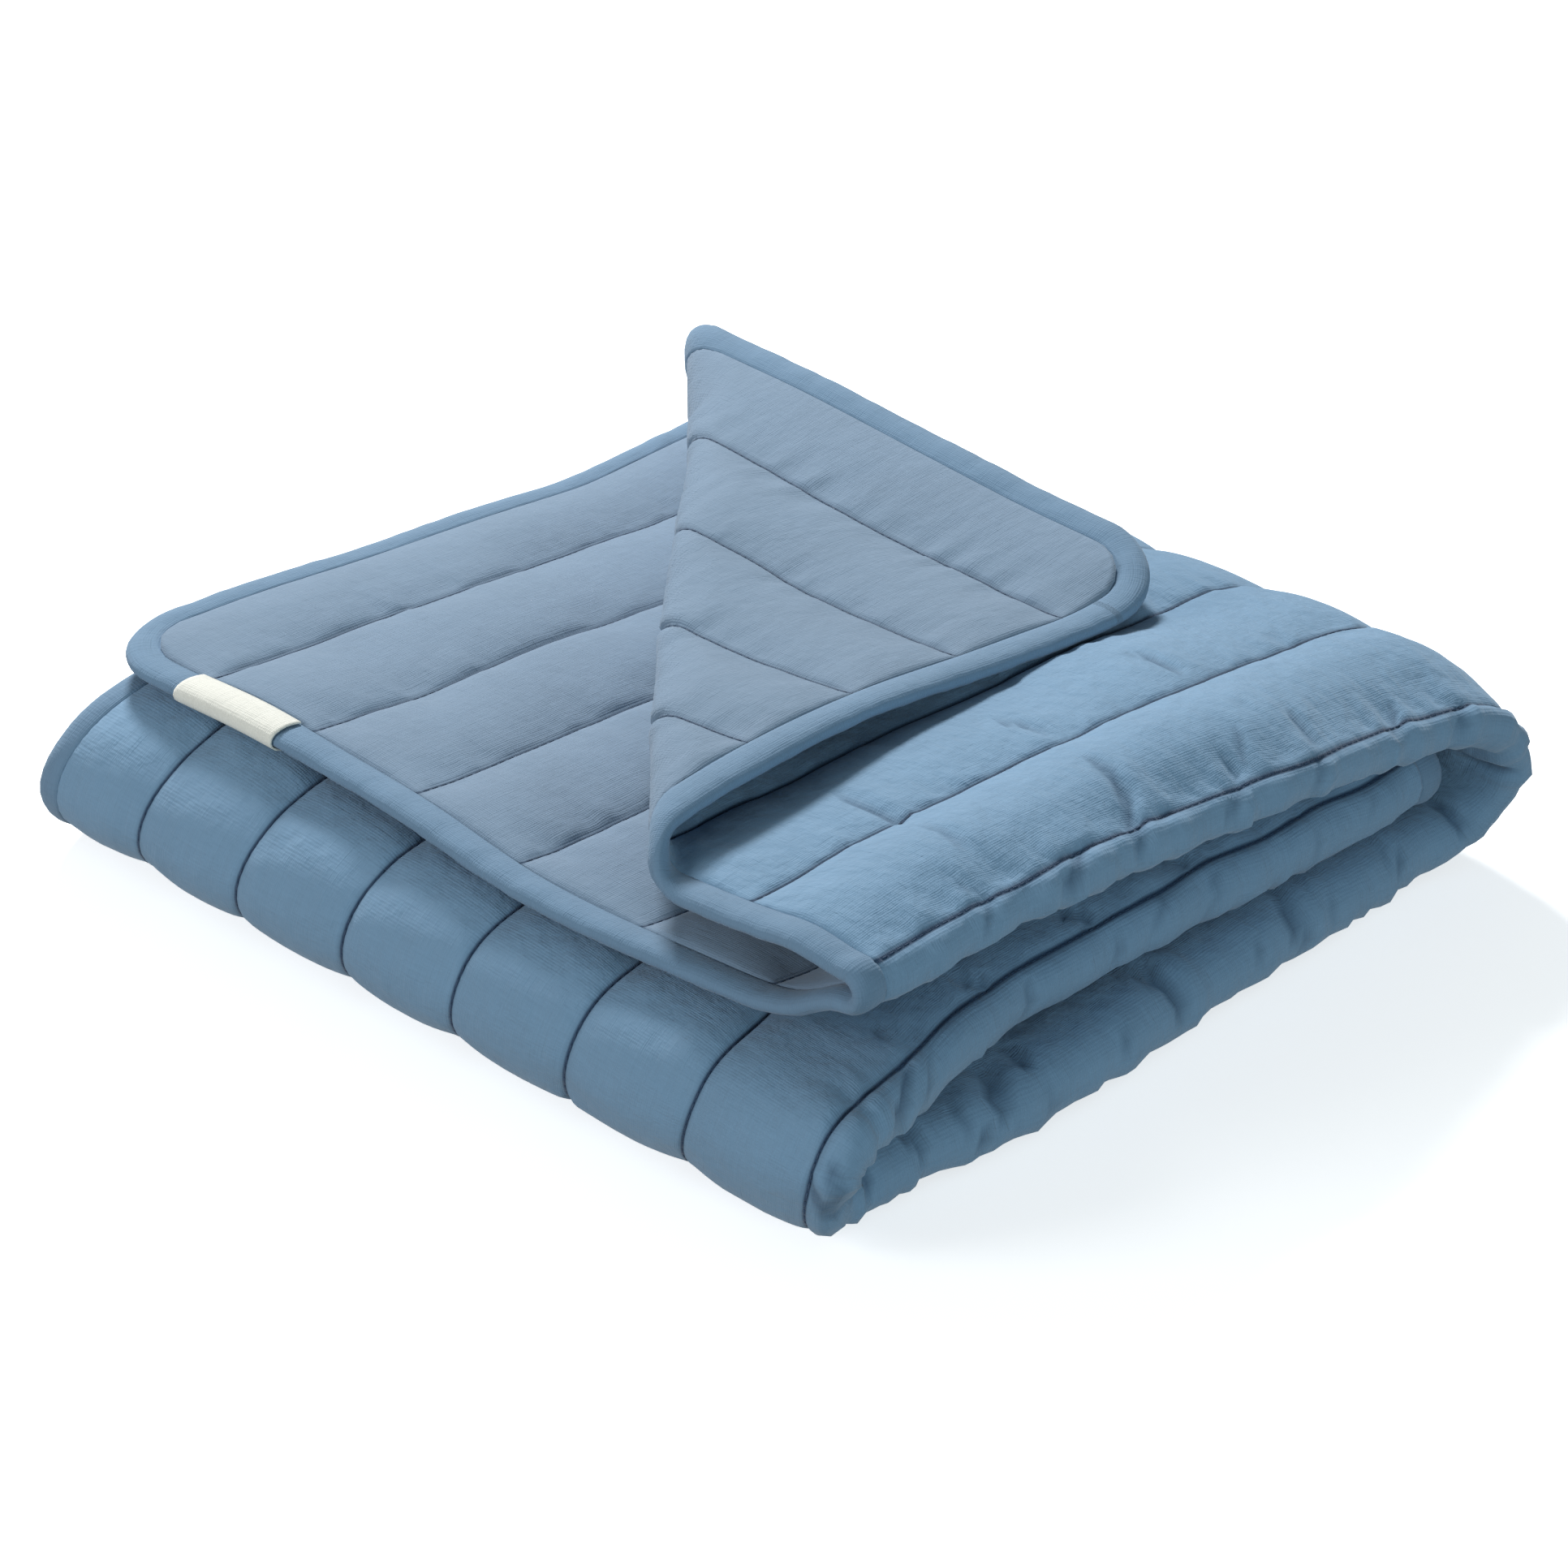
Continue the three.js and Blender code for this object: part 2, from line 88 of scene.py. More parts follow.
@dataclass(frozen=True)
class SoftNoise:
    """Smooth random values from -1 to 1 over a plane, the same in every run."""

    seed: int
    size: int = 128

    def at(self, x: np.ndarray, y: np.ndarray) -> np.ndarray:
        """Reads the noise.

        Args:
            x: First coordinate, in steps of the noise's lattice.
            y: Second coordinate, in the same steps.

        Returns:
            One value for each pair of coordinates.
        """
        lattice = np.random.default_rng(self.seed).uniform(-1, 1, (self.size, self.size))
        x, y = np.broadcast_arrays(np.asarray(x, float), np.asarray(y, float))
        column, row = np.floor(x).astype(int), np.floor(y).astype(int)
        over, up = x - column, y - row
        over, up = over * over * (3 - 2 * over), up * up * (3 - 2 * up)
        column, row = column % self.size, row % self.size
        right, above = (column + 1) % self.size, (row + 1) % self.size
        low = blended(lattice[column, row], lattice[right, row], over)
        high = blended(lattice[column, above], lattice[right, above], over)
        return blended(low, high, up)


@dataclass(frozen=True)
class Turn:
    """One of the two turns between the passes of the doubled strip."""

    side: float
    folded_bulge: float
    open_bulge: float
    sag: float


@dataclass
class FoldedStrip:
    """The doubled blanket seen from its side: stations along the strip that folds in three.

    A station's row gives y and z of the strip's middle at its folded and at its open side, how far
    out the half fold reaches, how far a layer stands off the middle at the fold and at the open side,
    how it swells and rises beside the fold, how far the fold has slipped, and how far it is in a turn.
    """

    columns: tuple[str, ...] = (
        "folded_y", "folded_z", "open_y", "open_z", "reach", "folded_gap", "open_gap",
        "belly", "rise", "slip", "pinch",
    )
    top_pass: tuple[tuple[float, ...], ...] = (
        (-143, 77, -156, 73.5, 170, 5.2, 8.8, 8.2, 5.4, 2.7),
        (-58, 77, -59, 68, 173.6, 4.8, 6.3, 13, 10.2, 1.2),
        (36, 77.7, 43, 63.6, 175.6, 4.8, 7.6, 12.8, 5.8, 2.7),
        (113, 71, 119, 58.5, 165, 4.9, 5.5, 5.3, -5.5, 2.3),
    )
    bottom_pass: tuple[tuple[float, ...], ...] = (
        (127, 10.6, 124.5, 10.4, 152, 6.6, 5.8),
        (38, 11.0, 41, 11.2, 159, 7.0, 6.0),
        (-63, 10.8, -61, 11.2, 168, 6.8, 6.0),
        (-138.5, 10.2, -136.5, 10.4, 164, 5.8, 5.8),
    )
    middle_pass: tuple[tuple[float, ...], ...] = (
        (-150.5, 43.0, -143, 48.5, 180, 5.8, 5.8),
        (-63, 39.0, -62.5, 37.2, 153, 6.0, 6.0),
        (43.5, 38.0, 44, 36.0, 151, 7.3, 6.0),
        (133, 36.5, 125, 35.0, 149, 7.5, 6.0),
    )
    back_turn: Turn = Turn(1, 35, 28.5, 1)
    front_turn: Turn = Turn(-1, 14.5, 38, 1.27)
    pass_steps: int = 60
    turn_steps: int = 40
    station_count: int = 401
    softenings: int = 14
    rows: np.ndarray = field(init=False)
    along: np.ndarray = field(init=False)

    def __post_init__(self) -> None:
        """Lays out the stations, evenly spaced along the cloth and softened into one another."""
        top, bottom, middle = map(self.pass_rows, (self.top_pass, self.bottom_pass, self.middle_pass))
        rows = np.concatenate([
            top,
            self.turn_rows(top[-1], bottom[0], self.back_turn),
            bottom,
            self.turn_rows(bottom[-1], middle[0], self.front_turn),
            middle,
        ])
        measured = self.lengths(rows)
        even = np.linspace(0, measured[-1], self.station_count)
        rows = np.stack([np.interp(even, measured, column) for column in rows.T], axis=1)
        for _ in range(self.softenings):
            rows[1:-1] = rows[1:-1] / 2 + (rows[:-2] + rows[2:]) / 4
        self.rows = rows
        self.along = self.lengths(rows)

    def column(self, name: str) -> int:
        """Returns the place of a named value in a station's row."""
        return self.columns.index(name)

    def pass_rows(self, table: tuple[tuple[float, ...], ...]) -> np.ndarray:
        """Makes the stations of one straight pass.

        Args:
            table: Its known stations, with the named columns from the first as far as it gives them.

        Returns:
            One row for each station, evenly spaced from the first known one to the last.
        """
        known = np.zeros((len(table), len(self.columns)))
        known[:, : len(table[0])] = table
        places = np.linspace(0, len(table) - 1, self.pass_steps)
        return np.stack([np.interp(places, range(len(table)), column) for column in known.T], axis=1)

    def turn_rows(self, start: np.ndarray, end: np.ndarray, turn: Turn) -> np.ndarray:
        """Makes the stations of a turn.

        Args:
            start: Last station of the pass before it.
            end: First station of the pass after it.
            turn: How far it bulges and sags.

        Returns:
            One row for each station.
        """
        angle = math.pi * np.arange(1, self.turn_steps + 1) / (self.turn_steps + 1)
        share = (1 - np.cos(angle)) / 2
        rows = blended(start[None], end[None], share[:, None])
        for n in (self.column("folded_z"), self.column("open_z")):
            rows[:, n] = blended(start[n], end[n], share**turn.sag)
        rows[:, self.column("folded_y")] += turn.side * turn.folded_bulge * np.sin(angle)
        rows[:, self.column("open_y")] += turn.side * turn.open_bulge * np.sin(angle)
        rows[:, self.column("pinch")] = np.sin(angle)
        return rows

    @staticmethod
    def lengths(rows: np.ndarray) -> np.ndarray:
        """Measures the cloth between the stations.

        Args:
            rows: The stations, the two sides' y and z first.

        Returns:
            How far along the cloth each station lies, as the mean of its two sides.
        """
        steps = np.diff(rows[:, :4], axis=0)
        folded, opened = np.hypot(steps[:, 0], steps[:, 1]), np.hypot(steps[:, 2], steps[:, 3])
        return np.concatenate([[0], np.cumsum((folded + opened) / 2)])

    @property
    def length(self) -> float:
        """The length of the cloth."""
        return float(self.along[-1])

    def at(self, along: np.ndarray) -> dict[str, np.ndarray]:
        """Reads the strip; past its ends it runs on.

        Args:
            along: Places down the channels.

        Returns:
            The named values of the station at each place.
        """
        low = np.clip(np.searchsorted(self.along, along, side="right") - 1, 0, len(self.along) - 2)
        share = (along - self.along[low]) / (self.along[low + 1] - self.along[low])
        rows = blended(self.rows[low], self.rows[low + 1], share[..., None])
        return {name: rows[..., n] for n, name in enumerate(self.columns)}


@dataclass
class TurnedCorner:
    """The corner that is turned back over the blanket, and the roll of its fold."""

    start_across: float = 67.5
    end_along: float = 286
    foot: tuple[float, ...] = (6.4, 4.5, 20)
    wall: tuple[float, ...] = (0, 15, 0)
    crest: tuple[float, ...] = (7.2, 5, 5)
    turn: tuple[float, ...] = (170, 185, 182)
    press: tuple[float, ...] = (3.8, 5, 1.5)
    bow: float = -12.8
    curl: float = 13.4
    curl_width: float = 60
    curl_start: float = 40
    most_curl: float = 1.2
    tight_half: float = 2.4
    tight_spread: float = 10
    loosening: float = 9
    free_half: float = 99
    run_on: float = 0.1
    spread: float = 60
    end: float = 340
    ease: float = 35
    half_width: float = HALF_WIDTH
    span: float = field(init=False)
    run: np.ndarray = field(init=False)
    away: np.ndarray = field(init=False)

    def __post_init__(self) -> None:
        """Works out the fold line, and the direction in the flat cloth that points to the corner."""
        run = np.array([self.half_width - self.start_across, self.end_along])
        self.span = float(np.linalg.norm(run))
        self.run = run / self.span
        self.away = np.array([self.run[1], -self.run[0]])

    def place(self, across: np.ndarray, along: np.ndarray) -> tuple[np.ndarray, np.ndarray]:
        """Measures places of the flat cloth from the bowed fold line.

        Args:
            across: Places over the channels.
            along: Places down the channels.

        Returns:
            How far they lie past the fold line, and where on it they belong, from 0 to 1.
        """
        over = across - self.start_across
        share = (over * self.run[0] + along * self.run[1]) / self.span
        held = np.clip(share, 0, 1)
        past = over * self.away[0] + along * self.away[1] + arched(self.bow, held)
        return past, share

    def value(self, sizes: tuple[float, ...], share: np.ndarray) -> np.ndarray:
        """Reads a size of the roll.

        Args:
            sizes: The size at the start, the middle and the end of the fold line.
            share: Places on the line, from 0 to 1 and a little beyond.

        Returns:
            The size at each place.
        """
        start, middle, end = sizes
        share = np.clip(share, -self.run_on, 1 + self.run_on)
        return blended(start, end, share) + arched(1, share) * (middle - (start + end) / 2)

    def easing(self, across: np.ndarray, along: np.ndarray) -> np.ndarray:
        """Returns how fully the cloth by the fold is pressed down: not at all at the corner's bounds."""
        return np.clip(across / self.ease, 0, 1) * np.clip((self.end - along) / self.ease, 0, 1)

    def squeezed(self, across: np.ndarray, along: np.ndarray) -> np.ndarray:
        """Works out how thick half of the quilt can be: little in the roll, anything away from it.

        Args:
            across: Places over the channels.
            along: Places down the channels.

        Returns:
            The most that a face can stand off the middle surface at each place.
        """
        past, share = self.place(across, along)
        foot, crest = self.value(self.foot, share), self.value(self.crest, share)
        turn = np.radians(self.value(self.turn, share)) - math.pi / 2
        rolled = foot * math.pi / 2 + self.value(self.wall, share) + crest * turn
        away = np.maximum(np.maximum(-past, past - rolled), 0) / self.tight_spread
        free = (across < 0) | (along > self.end)
        held = self.tight_half + self.loosening * (1 - np.exp(-(away**2)))
        return np.where(free, self.free_half, held)

    def curled(self, across: np.ndarray, past: np.ndarray) -> np.ndarray:
        """Returns how far the turned cloth curls up towards its long bound edge."""
        near = np.clip((across - self.half_width + self.curl_width) / self.curl_width, 0, self.most_curl)
        return self.curl * near**2 * np.clip(past / self.curl_start, 0, 1)

    def rolled(self, past: np.ndarray, share: np.ndarray) -> tuple[np.ndarray, np.ndarray]:
        """Carries places over the roll: up its foot, its wall, over its crest and down the far side.

        Args:
            past: How far places lie past the fold line.
            share: Where on the line they belong.

        Returns:
            How far each place comes to lie out from the fold line, and how high.
        """
        foot, crest = self.value(self.foot, share), self.value(self.crest, share)
        wall = self.value(self.wall, share)
        turn = np.radians(self.value(self.turn, share))
        quarter = math.pi / 2
        first = np.minimum(past / foot, quarter)
        upright = np.maximum(np.minimum(past - foot * quarter, wall), 0)
        over = np.clip((past - foot * quarter - wall) / crest, 0, turn - quarter)
        rest = np.maximum(past - foot * quarter - wall - crest * (turn - quarter), 0)
        out = foot * np.sin(first) + crest * (np.cos(over) - 1) + rest * np.cos(turn)
        rise = foot * (1 - np.cos(first)) + upright + crest * np.sin(over) + rest * np.sin(turn)
        return out, rise


@dataclass(frozen=True)
class Slump:
    """The stretch of the lower half's edge that has slid out over the front fold and sags there."""

    across: float = -135
    width: float = 62
    length: float = 60
    out: float = 6.5
    down: float = 3

    def moved(self, across: np.ndarray, along: np.ndarray) -> tuple[np.ndarray, np.ndarray]:
        """Works out how the edge has slid.

        Args:
            across: Places over the channels.
            along: Places down the channels.

        Returns:
            How far the places have slid outwards, and how far they sag.
        """
        near = np.exp(-(((across - self.across) / self.width) ** 2) - (along / self.length) ** 2)
        near = np.where(across < 0, near, 0)
        return self.out * near, self.down * near


@dataclass
class FoldedCloth:
    """The middle surface of the blanket as it lies folded."""

    strip: FoldedStrip = field(default_factory=FoldedStrip)
    corner: TurnedCorner = field(default_factory=TurnedCorner)
    slump: Slump = Slump()
    half_width: float = HALF_WIDTH
    fold_across: float = -8.5
    squeeze: float = 0.25
    push: float = 6.6
    settle: float = 108
    upper_draw: float = 0.955
    belly_length: float = 18
    rise_length: float = 25
    probe: float = 1.5
    normal_step: float = 0.4
    sway: SoftNoise = SoftNoise(11)
    sway_length: float = 46
    sway_height: float = 1.5
    full_sway: float = 90
    drift: SoftNoise = SoftNoise(12)
    drift_length: float = 24
    drift_spacing: float = 60
    drift_width: float = 1.1
    drift_edge: float = 30

    def half_folded(self, station: dict[str, np.ndarray], across: np.ndarray) -> dict[str, np.ndarray]:
        """Folds the width in half.

        Args:
            station: Values of the strip's stations.
            across: Places over the width.

        Returns:
            x, the gap that a place stands off the doubled strip's middle, the room it leaves for the
            cloth, the x of the fold's end, the rise of the layers, and the side that a place lies on.
        """
        fold = self.fold_across + station["slip"]
        away = np.abs(across - fold)
        radius = station["folded_gap"] * (1 - self.squeeze * station["pinch"])
        centre = station["reach"] + self.push * station["pinch"] - radius
        quarter = math.pi / 2 * radius
        bent = away < quarter
        angle = np.minimum(away / radius, math.pi / 2)
        drawn = np.where(across > fold, self.upper_draw, 1.0)
        run = np.maximum(away - quarter, 0) * drawn
        swollen = radius + station["belly"] * (1 - np.exp(-((run / self.belly_length) ** 2)))
        settled = blended(station["open_gap"], swollen, np.exp(-((run / self.settle) ** 2)))
        return {
            "x": np.where(bent, centre + radius * np.cos(angle), centre - run),
            "gap": np.where(bent, radius * np.sin(angle), settled),
            "room": np.where(bent, radius, settled),
            "end": centre + radius,
            "rise": station["rise"] * np.exp(-((run / self.rise_length) ** 2)),
            "side": np.where(across >= fold, 1.0, -1.0),
        }

    @staticmethod
    def middle(station: dict[str, np.ndarray], share: np.ndarray) -> np.ndarray:
        """Finds spots between the two sides of the strip.

        Args:
            station: Values of the strip's stations.
            share: How far the spots lie from the folded side towards the open one, from 0 to 1.

        Returns:
            Their y and z.
        """
        return np.stack([
            blended(station["folded_y"], station["open_y"], share),
            blended(station["folded_z"], station["open_z"], share),
        ], axis=-1)

    def lying(self, across: np.ndarray, along: np.ndarray) -> np.ndarray:
        """Folds the blanket in half and in three.

        Args:
            across: Places over the channels.
            along: Places down the channels.

        Returns:
            Where they lie before the corner is turned back.
        """
        station = self.strip.at(along)
        fold = self.half_folded(station, across)
        share = np.clip((fold["end"] - fold["x"]) / self.half_width, 0, 1)
        spot = self.middle(station, share)
        before = self.middle(self.strip.at(along - self.probe), share)
        after = self.middle(self.strip.at(along + self.probe), share)
        run = unit(after - before)
        off = fold["gap"] * fold["side"]
        out, down = self.slump.moved(across, along)
        y = spot[..., 0] - run[..., 1] * off - out
        z = spot[..., 1] + run[..., 0] * off - down + fold["rise"]
        return np.stack([fold["x"], y, z], axis=-1)

    def turned(self, across: np.ndarray, along: np.ndarray) -> np.ndarray:
        """Turns the corner back over its roll.

        Args:
            across: Places over the channels.
            along: Places down the channels.

        Returns:
            Where they lie in the folded blanket.
        """
        past, share = self.corner.place(across, along)
        bent = past > 0
        start_across = np.where(bent, across - self.corner.away[0] * past, across)
        start_along = np.where(bent, along - self.corner.away[1] * past, along)
        spot = self.lying(start_across, start_along)
        out, rise = self.corner.rolled(np.maximum(past, 0), share)
        rise = rise + self.corner.curled(across, past)
        fading = np.exp(-((past / self.corner.spread) ** 2)) * self.corner.easing(across, along)
        pressed = self.corner.value(self.corner.press, share) * np.where(bent, 1, fading)
        moved = [-self.corner.away[0] * out, self.corner.away[1] * out, rise - pressed]
        return spot + np.stack(moved, axis=-1)

    def point(self, across: np.ndarray, along: np.ndarray) -> np.ndarray:
        """Finds the middle surface of the folded blanket.

        Args:
            across: Places over the channels.
            along: Places down the channels.

        Returns:
            One point for each place.
        """
        across, along = np.broadcast_arrays(np.asarray(across, float), np.asarray(along, float))
        cornered = (across > 0) & (along < self.corner.end)
        return np.where(cornered[..., None], self.turned(across, along), self.lying(across, along))

    def normal(self, across: np.ndarray, along: np.ndarray) -> np.ndarray:
        """Finds the directions that point out of the outer cloth.

        Args:
            across: Places over the channels.
            along: Places down the channels.

        Returns:
            One unit vector for each place.
        """
        step = self.normal_step
        over_across = self.point(across + step, along) - self.point(across - step, along)
        over_along = self.point(across, along + step) - self.point(across, along - step)
        return unit(np.cross(over_along, over_across))

    def room(self, across: np.ndarray, along: np.ndarray) -> np.ndarray:
        """Returns the room that a layer has on the side of its other half."""
        return self.half_folded(self.strip.at(along), across)["room"]


@dataclass(frozen=True)
class Crease:
    """A soft crease of one layer, from one place of the flat blanket to another."""

    start: tuple[float, float]
    end: tuple[float, float]
    depth: float
    width: float
    bow: float = 0.0
    deepening: float = 4
    end_share: float = 0.15
    overrun: float = 0.04
    shoulder_off: float = 2.2
    shoulder_width: float = 1.6
    shoulder_share: float = 0.45

    def sunk(self, across: np.ndarray, along: np.ndarray) -> np.ndarray:
        """Works out how the crease sinks the cloth, and raises it beside itself.

        Args:
            across: Places over the channels.
            along: Places down the channels.

        Returns:
            How far each place is sunk.
        """
        start, end = np.array(self.start), np.array(self.end)
        span = float(np.linalg.norm(end - start))
        run = (end - start) / span
        over, up = across - start[0], along - start[1]
        share = (over * run[0] + up * run[1]) / span
        off = over * run[1] - up * run[0] - arched(self.bow, share)
        ends = np.clip(np.minimum(share, 1 - share) * self.deepening + self.end_share, 0, 1)
        beyond = (share < -self.overrun) | (share > 1 + self.overrun)
        fade = np.where(beyond, 0, ends * ends * (3 - 2 * ends))
        groove = np.exp(-((off / self.width) ** 2))
        beside = (off - self.shoulder_off * self.width) / (self.shoulder_width * self.width)
        return self.depth * fade * (groove - self.shoulder_share * np.exp(-(beside**2)))


# The creases of the outer cloth, from its short bound edge down the cloth.
CREASES = (
    Crease((18, 52), (1, 59), 1.0, 2, -3),
    Crease((3, 59), (-8, 48), 1.4, 1.7, 0),
    Crease((40, 68), (16, 64), 1.4, 2, 1),
    Crease((76, 70), (45, 70), 2.0, 1.9, 0),
    Crease((1, 98), (-8, 80), 2.4, 1.7, 0),
    Crease((3, 121), (-8, 111), 1.7, 1.7, 1),
    Crease((79, 128), (54, 138), 1.7, 1.9, 4),
    Crease((34, 130), (-4, 113), 2.2, 2.2, 4),
    Crease((1, 165), (-8, 149), 1.5, 1.7, 0),
    Crease((15, 165), (1, 162), 1.2, 1.9, 3),
    Crease((21, 181), (6, 171), 1.5, 1.7, -1),
    Crease((34, 190), (20, 192), 1.0, 1.9, -1),
    Crease((81, 192), (55, 197), 1.9, 1.9, 2),
    Crease((1, 199), (-8, 190), 1.4, 1.7, 0),
    Crease((21, 202), (1, 200), 1.7, 1.9, 0),
    Crease((11, 250), (-3, 234), 1.9, 1.8, 3),
    Crease((3, 275), (-8, 268), 1.7, 1.7, 1),
    Crease((-28, 309), (-9, 311), 2.4, 2.2, -2),
    Crease((-24, 342), (-8, 344), 3.1, 2.4, -1),
    Crease((-21, 377), (-10, 371), 1.9, 2.2, -2),
    Crease((-15, 412), (-4, 406), 1.2, 2, 1),
    Crease((-22, 422), (-7, 422), 3.2, 3, -3),
    Crease((-17, 447), (-6, 440), 1.2, 2, 0),
    Crease((-30, 494), (-8, 482), 3.8, 3.2, 4),
    Crease((-18, 514), (-8, 505), 1.4, 2, -1),
    Crease((-30, 545), (-17, 547), 2.7, 2.8, 1),
    Crease((-17, 549), (-6, 539), 1.5, 2, -2),
    Crease((-23, 554), (-8, 560), 3.0, 2.8, -4),
    Crease((-28, 556), (-12, 567), 2.4, 2.4, 2),
    Crease((-19, 576), (-6, 569), 1.9, 2, -2),
    Crease((-18, 598), (-8, 592), 2.4, 2.2, 2),
    Crease((-20, 622), (-9, 616), 2.7, 2.8, 2),
    Crease((0, 668), (-10, 651), 2.4, 2.2, 0),
    Crease((-4, 677), (-12, 651), 2.0, 2.2, 0),
    Crease((-1, 718), (-10, 702), 2.7, 1.9, 1),
    Crease((21, 717), (4, 724), 1.7, 2, 0),
    Crease((-1, 730), (-10, 715), 1.4, 1.8, 2),
    Crease((12, 756), (0, 767), 2.0, 1.9, -1),
    Crease((-3, 781), (-14, 775), 1.9, 1.8, -1),
    Crease((13, 806), (0, 817), 2.7, 2, -1),
    Crease((0, 815), (-12, 817), 1.9, 1.8, 0),
    Crease((1, 843), (-10, 830), 1.2, 1.7, 0),
    Crease((12, 851), (1, 861), 1.7, 1.9, -1),
    Crease((-2, 860), (-14, 858), 2.2, 1.8, 1),
    Crease((9, 900), (-1, 908), 1.2, 1.9, -1),
    Crease((-3, 907), (-14, 903), 1.2, 1.7, 1),
    Crease((-2, 932), (-12, 928), 1.2, 1.7, 0),
    Crease((-3, 951), (-12, 948), 1.2, 1.7, 2),
)


@dataclass
class Quilting:
    """How far the two faces of the quilt stand off its middle: seams, crowns, puckers and creases."""

    cloth: FoldedCloth = field(default_factory=FoldedCloth)
    channel: float = 50
    binding_width: float = 10
    corner_radius: float = 34
    seam_half: float = 1.0
    crown_half: float = 4.9
    crown_power: float = 0.6
    edge_half: float = 2.3
    edge_taper: float = 14
    edge_power: float = 0.5
    room_share: float = 0.7
    lining_reach: float = 300
    puckers: SoftNoise = SoftNoise(21)
    pucker_length: float = 5.5
    pucker_height: float = 1.1
    pucker_spread: float = 11
    pucker_hold: float = 2.2
    line_step: float = 5.3
    side_step: float = 31
    fold_puckers: SoftNoise = SoftNoise(22)
    fold_pucker_length: float = 4.6
    fold_pucker_width: float = 26
    fold_pucker_height: float = 1.15
    fold_pucker_hold: float = 2.0
    fold_spread: float = 24
    turn_flattening: float = 0.35
    least_half: float = 0.6
    creases: tuple[Crease, ...] = CREASES

    def seam_distance(self, across: np.ndarray) -> np.ndarray:
        """Returns how far places lie from the nearest seam."""
        over = np.mod(across + self.cloth.half_width, self.channel)
        return np.minimum(over, self.channel - over)

    def to_edge(self, across: np.ndarray, along: np.ndarray) -> np.ndarray:
        """Measures places of the flat cloth from the binding.

        Args:
            across: Places over the channels.
            along: Places down the channels.

        Returns:
            How far they lie inside it.
        """
        sides = self.cloth.half_width - np.abs(across)
        ends = np.minimum(along, self.cloth.strip.length - along)
        return np.minimum(sides, ends) - self.binding_width

    def half_thickness(self, across: np.ndarray, along: np.ndarray, side: Side) -> np.ndarray:
        """Works out how far a face stands off the middle surface.

        Args:
            across: Places over the channels.
            along: Places down the channels.
            side: The face.

        Returns:
            Half of the thickness at each place, with the puckers of that face.
        """
        seam = self.seam_distance(across)
        crown = np.abs(np.sin(math.pi * seam / self.channel)) ** self.crown_power
        height = self.crown_half
        if side is Side.OUTER:
            height = height * (1 - self.turn_flattening * self.cloth.strip.at(along)["pinch"])
        full = blended(self.seam_half, height, crown)
        inside = np.clip(self.to_edge(across, along) / self.edge_taper, 0, 1) ** self.edge_power
        quilted = blended(self.edge_half, full, inside)
        quilted = np.minimum(quilted, self.cloth.corner.squeezed(across, along))
        quilted = np.minimum(quilted, self.cloth.room(across, along) * self.room_share)
        return np.maximum(quilted + self.relief(across, along, side) * inside, self.least_half)

    def relief(self, across: np.ndarray, along: np.ndarray, side: Side) -> np.ndarray:
        """Works out the puckers and the creases of a face.

        Args:
            across: Places over the channels.
            along: Places down the channels.
            side: The face.

        Returns:
            How far they raise the face at each place.
        """
        seam = self.seam_distance(across)
        line = np.round((across + self.cloth.half_width) / self.channel)
        row = line * self.line_step + self.side_step * side.value
        wave = self.puckers.at(along / self.pucker_length, row)
        near = np.exp(-((seam / self.pucker_spread) ** 2))
        near = near * (1 - np.exp(-((seam / self.pucker_hold) ** 2)))
        raised = self.pucker_height * wave * near
        if side is Side.OUTER:
            fold = across - self.cloth.fold_across
            wave = self.fold_puckers.at(along / self.fold_pucker_length, across / self.fold_pucker_width)
            height = self.fold_pucker_height * wave * (1 - np.exp(-((seam / self.fold_pucker_hold) ** 2)))
            raised = raised + height * np.exp(-((fold / self.fold_spread) ** 2))
            for crease in self.creases:
                raised = raised - crease.sunk(across, along)
        return raised

    def lift(self, spots: np.ndarray) -> np.ndarray:
        """Works out the broad rise and fall of the pile, which is greatest in its top layers.

        Args:
            spots: Points in millimetres.

        Returns:
            How far each point is raised.
        """
        cloth = self.cloth
        sway = cloth.sway.at(spots[..., 0] / cloth.sway_length, spots[..., 1] / cloth.sway_length)
        return cloth.sway_height * sway * np.clip(spots[..., 2] / cloth.full_sway, 0, 1)

    def wandered(self, across: np.ndarray, along: np.ndarray) -> np.ndarray:
        """Lets the seams wander a little from their straight lines.

        Args:
            across: Places over the channels.
            along: Places down the channels.

        Returns:
            The moved places over the channels.
        """
        cloth = self.cloth
        inside = np.clip(self.to_edge(across, along) / cloth.drift_edge, 0, 1)
        wave = cloth.drift.at(along / cloth.drift_length, across / cloth.drift_spacing)
        return across + cloth.drift_width * wave * inside

    def face(self, across: np.ndarray, along: np.ndarray, off: np.ndarray) -> np.ndarray:
        """Places points that stand off the middle surface.

        Args:
            across: Places over the channels.
            along: Places down the channels.
            off: Distances off the middle surface, out of the outer cloth.

        Returns:
            The points, with the broad lie of the pile.
        """
        across, along, off = np.broadcast_arrays(across, along, off)
        moved = self.wandered(across, along)
        spots = self.cloth.point(moved, along) + self.cloth.normal(moved, along) * off[..., None]
        spots[..., 2] += self.lift(spots)
        return spots


@dataclass(frozen=True)
class Placing:
    """Moves points from the frame in which the folds were drawn to the frame of the part."""

    shift: tuple[float, float, float] = (2.1981, 9.6912, -1.2)

    def metres(self, points: np.ndarray) -> np.ndarray:
        """Moves points to the part's frame, none of them below the surface on which the blanket lies.

        Args:
            points: Points in millimetres, in the frame of the folds.

        Returns:
            The points in metres.
        """
        moved = points + np.array(self.shift)
        moved[..., 2] = np.maximum(moved[..., 2], 0.0)
        return moved * MILLIMETRE


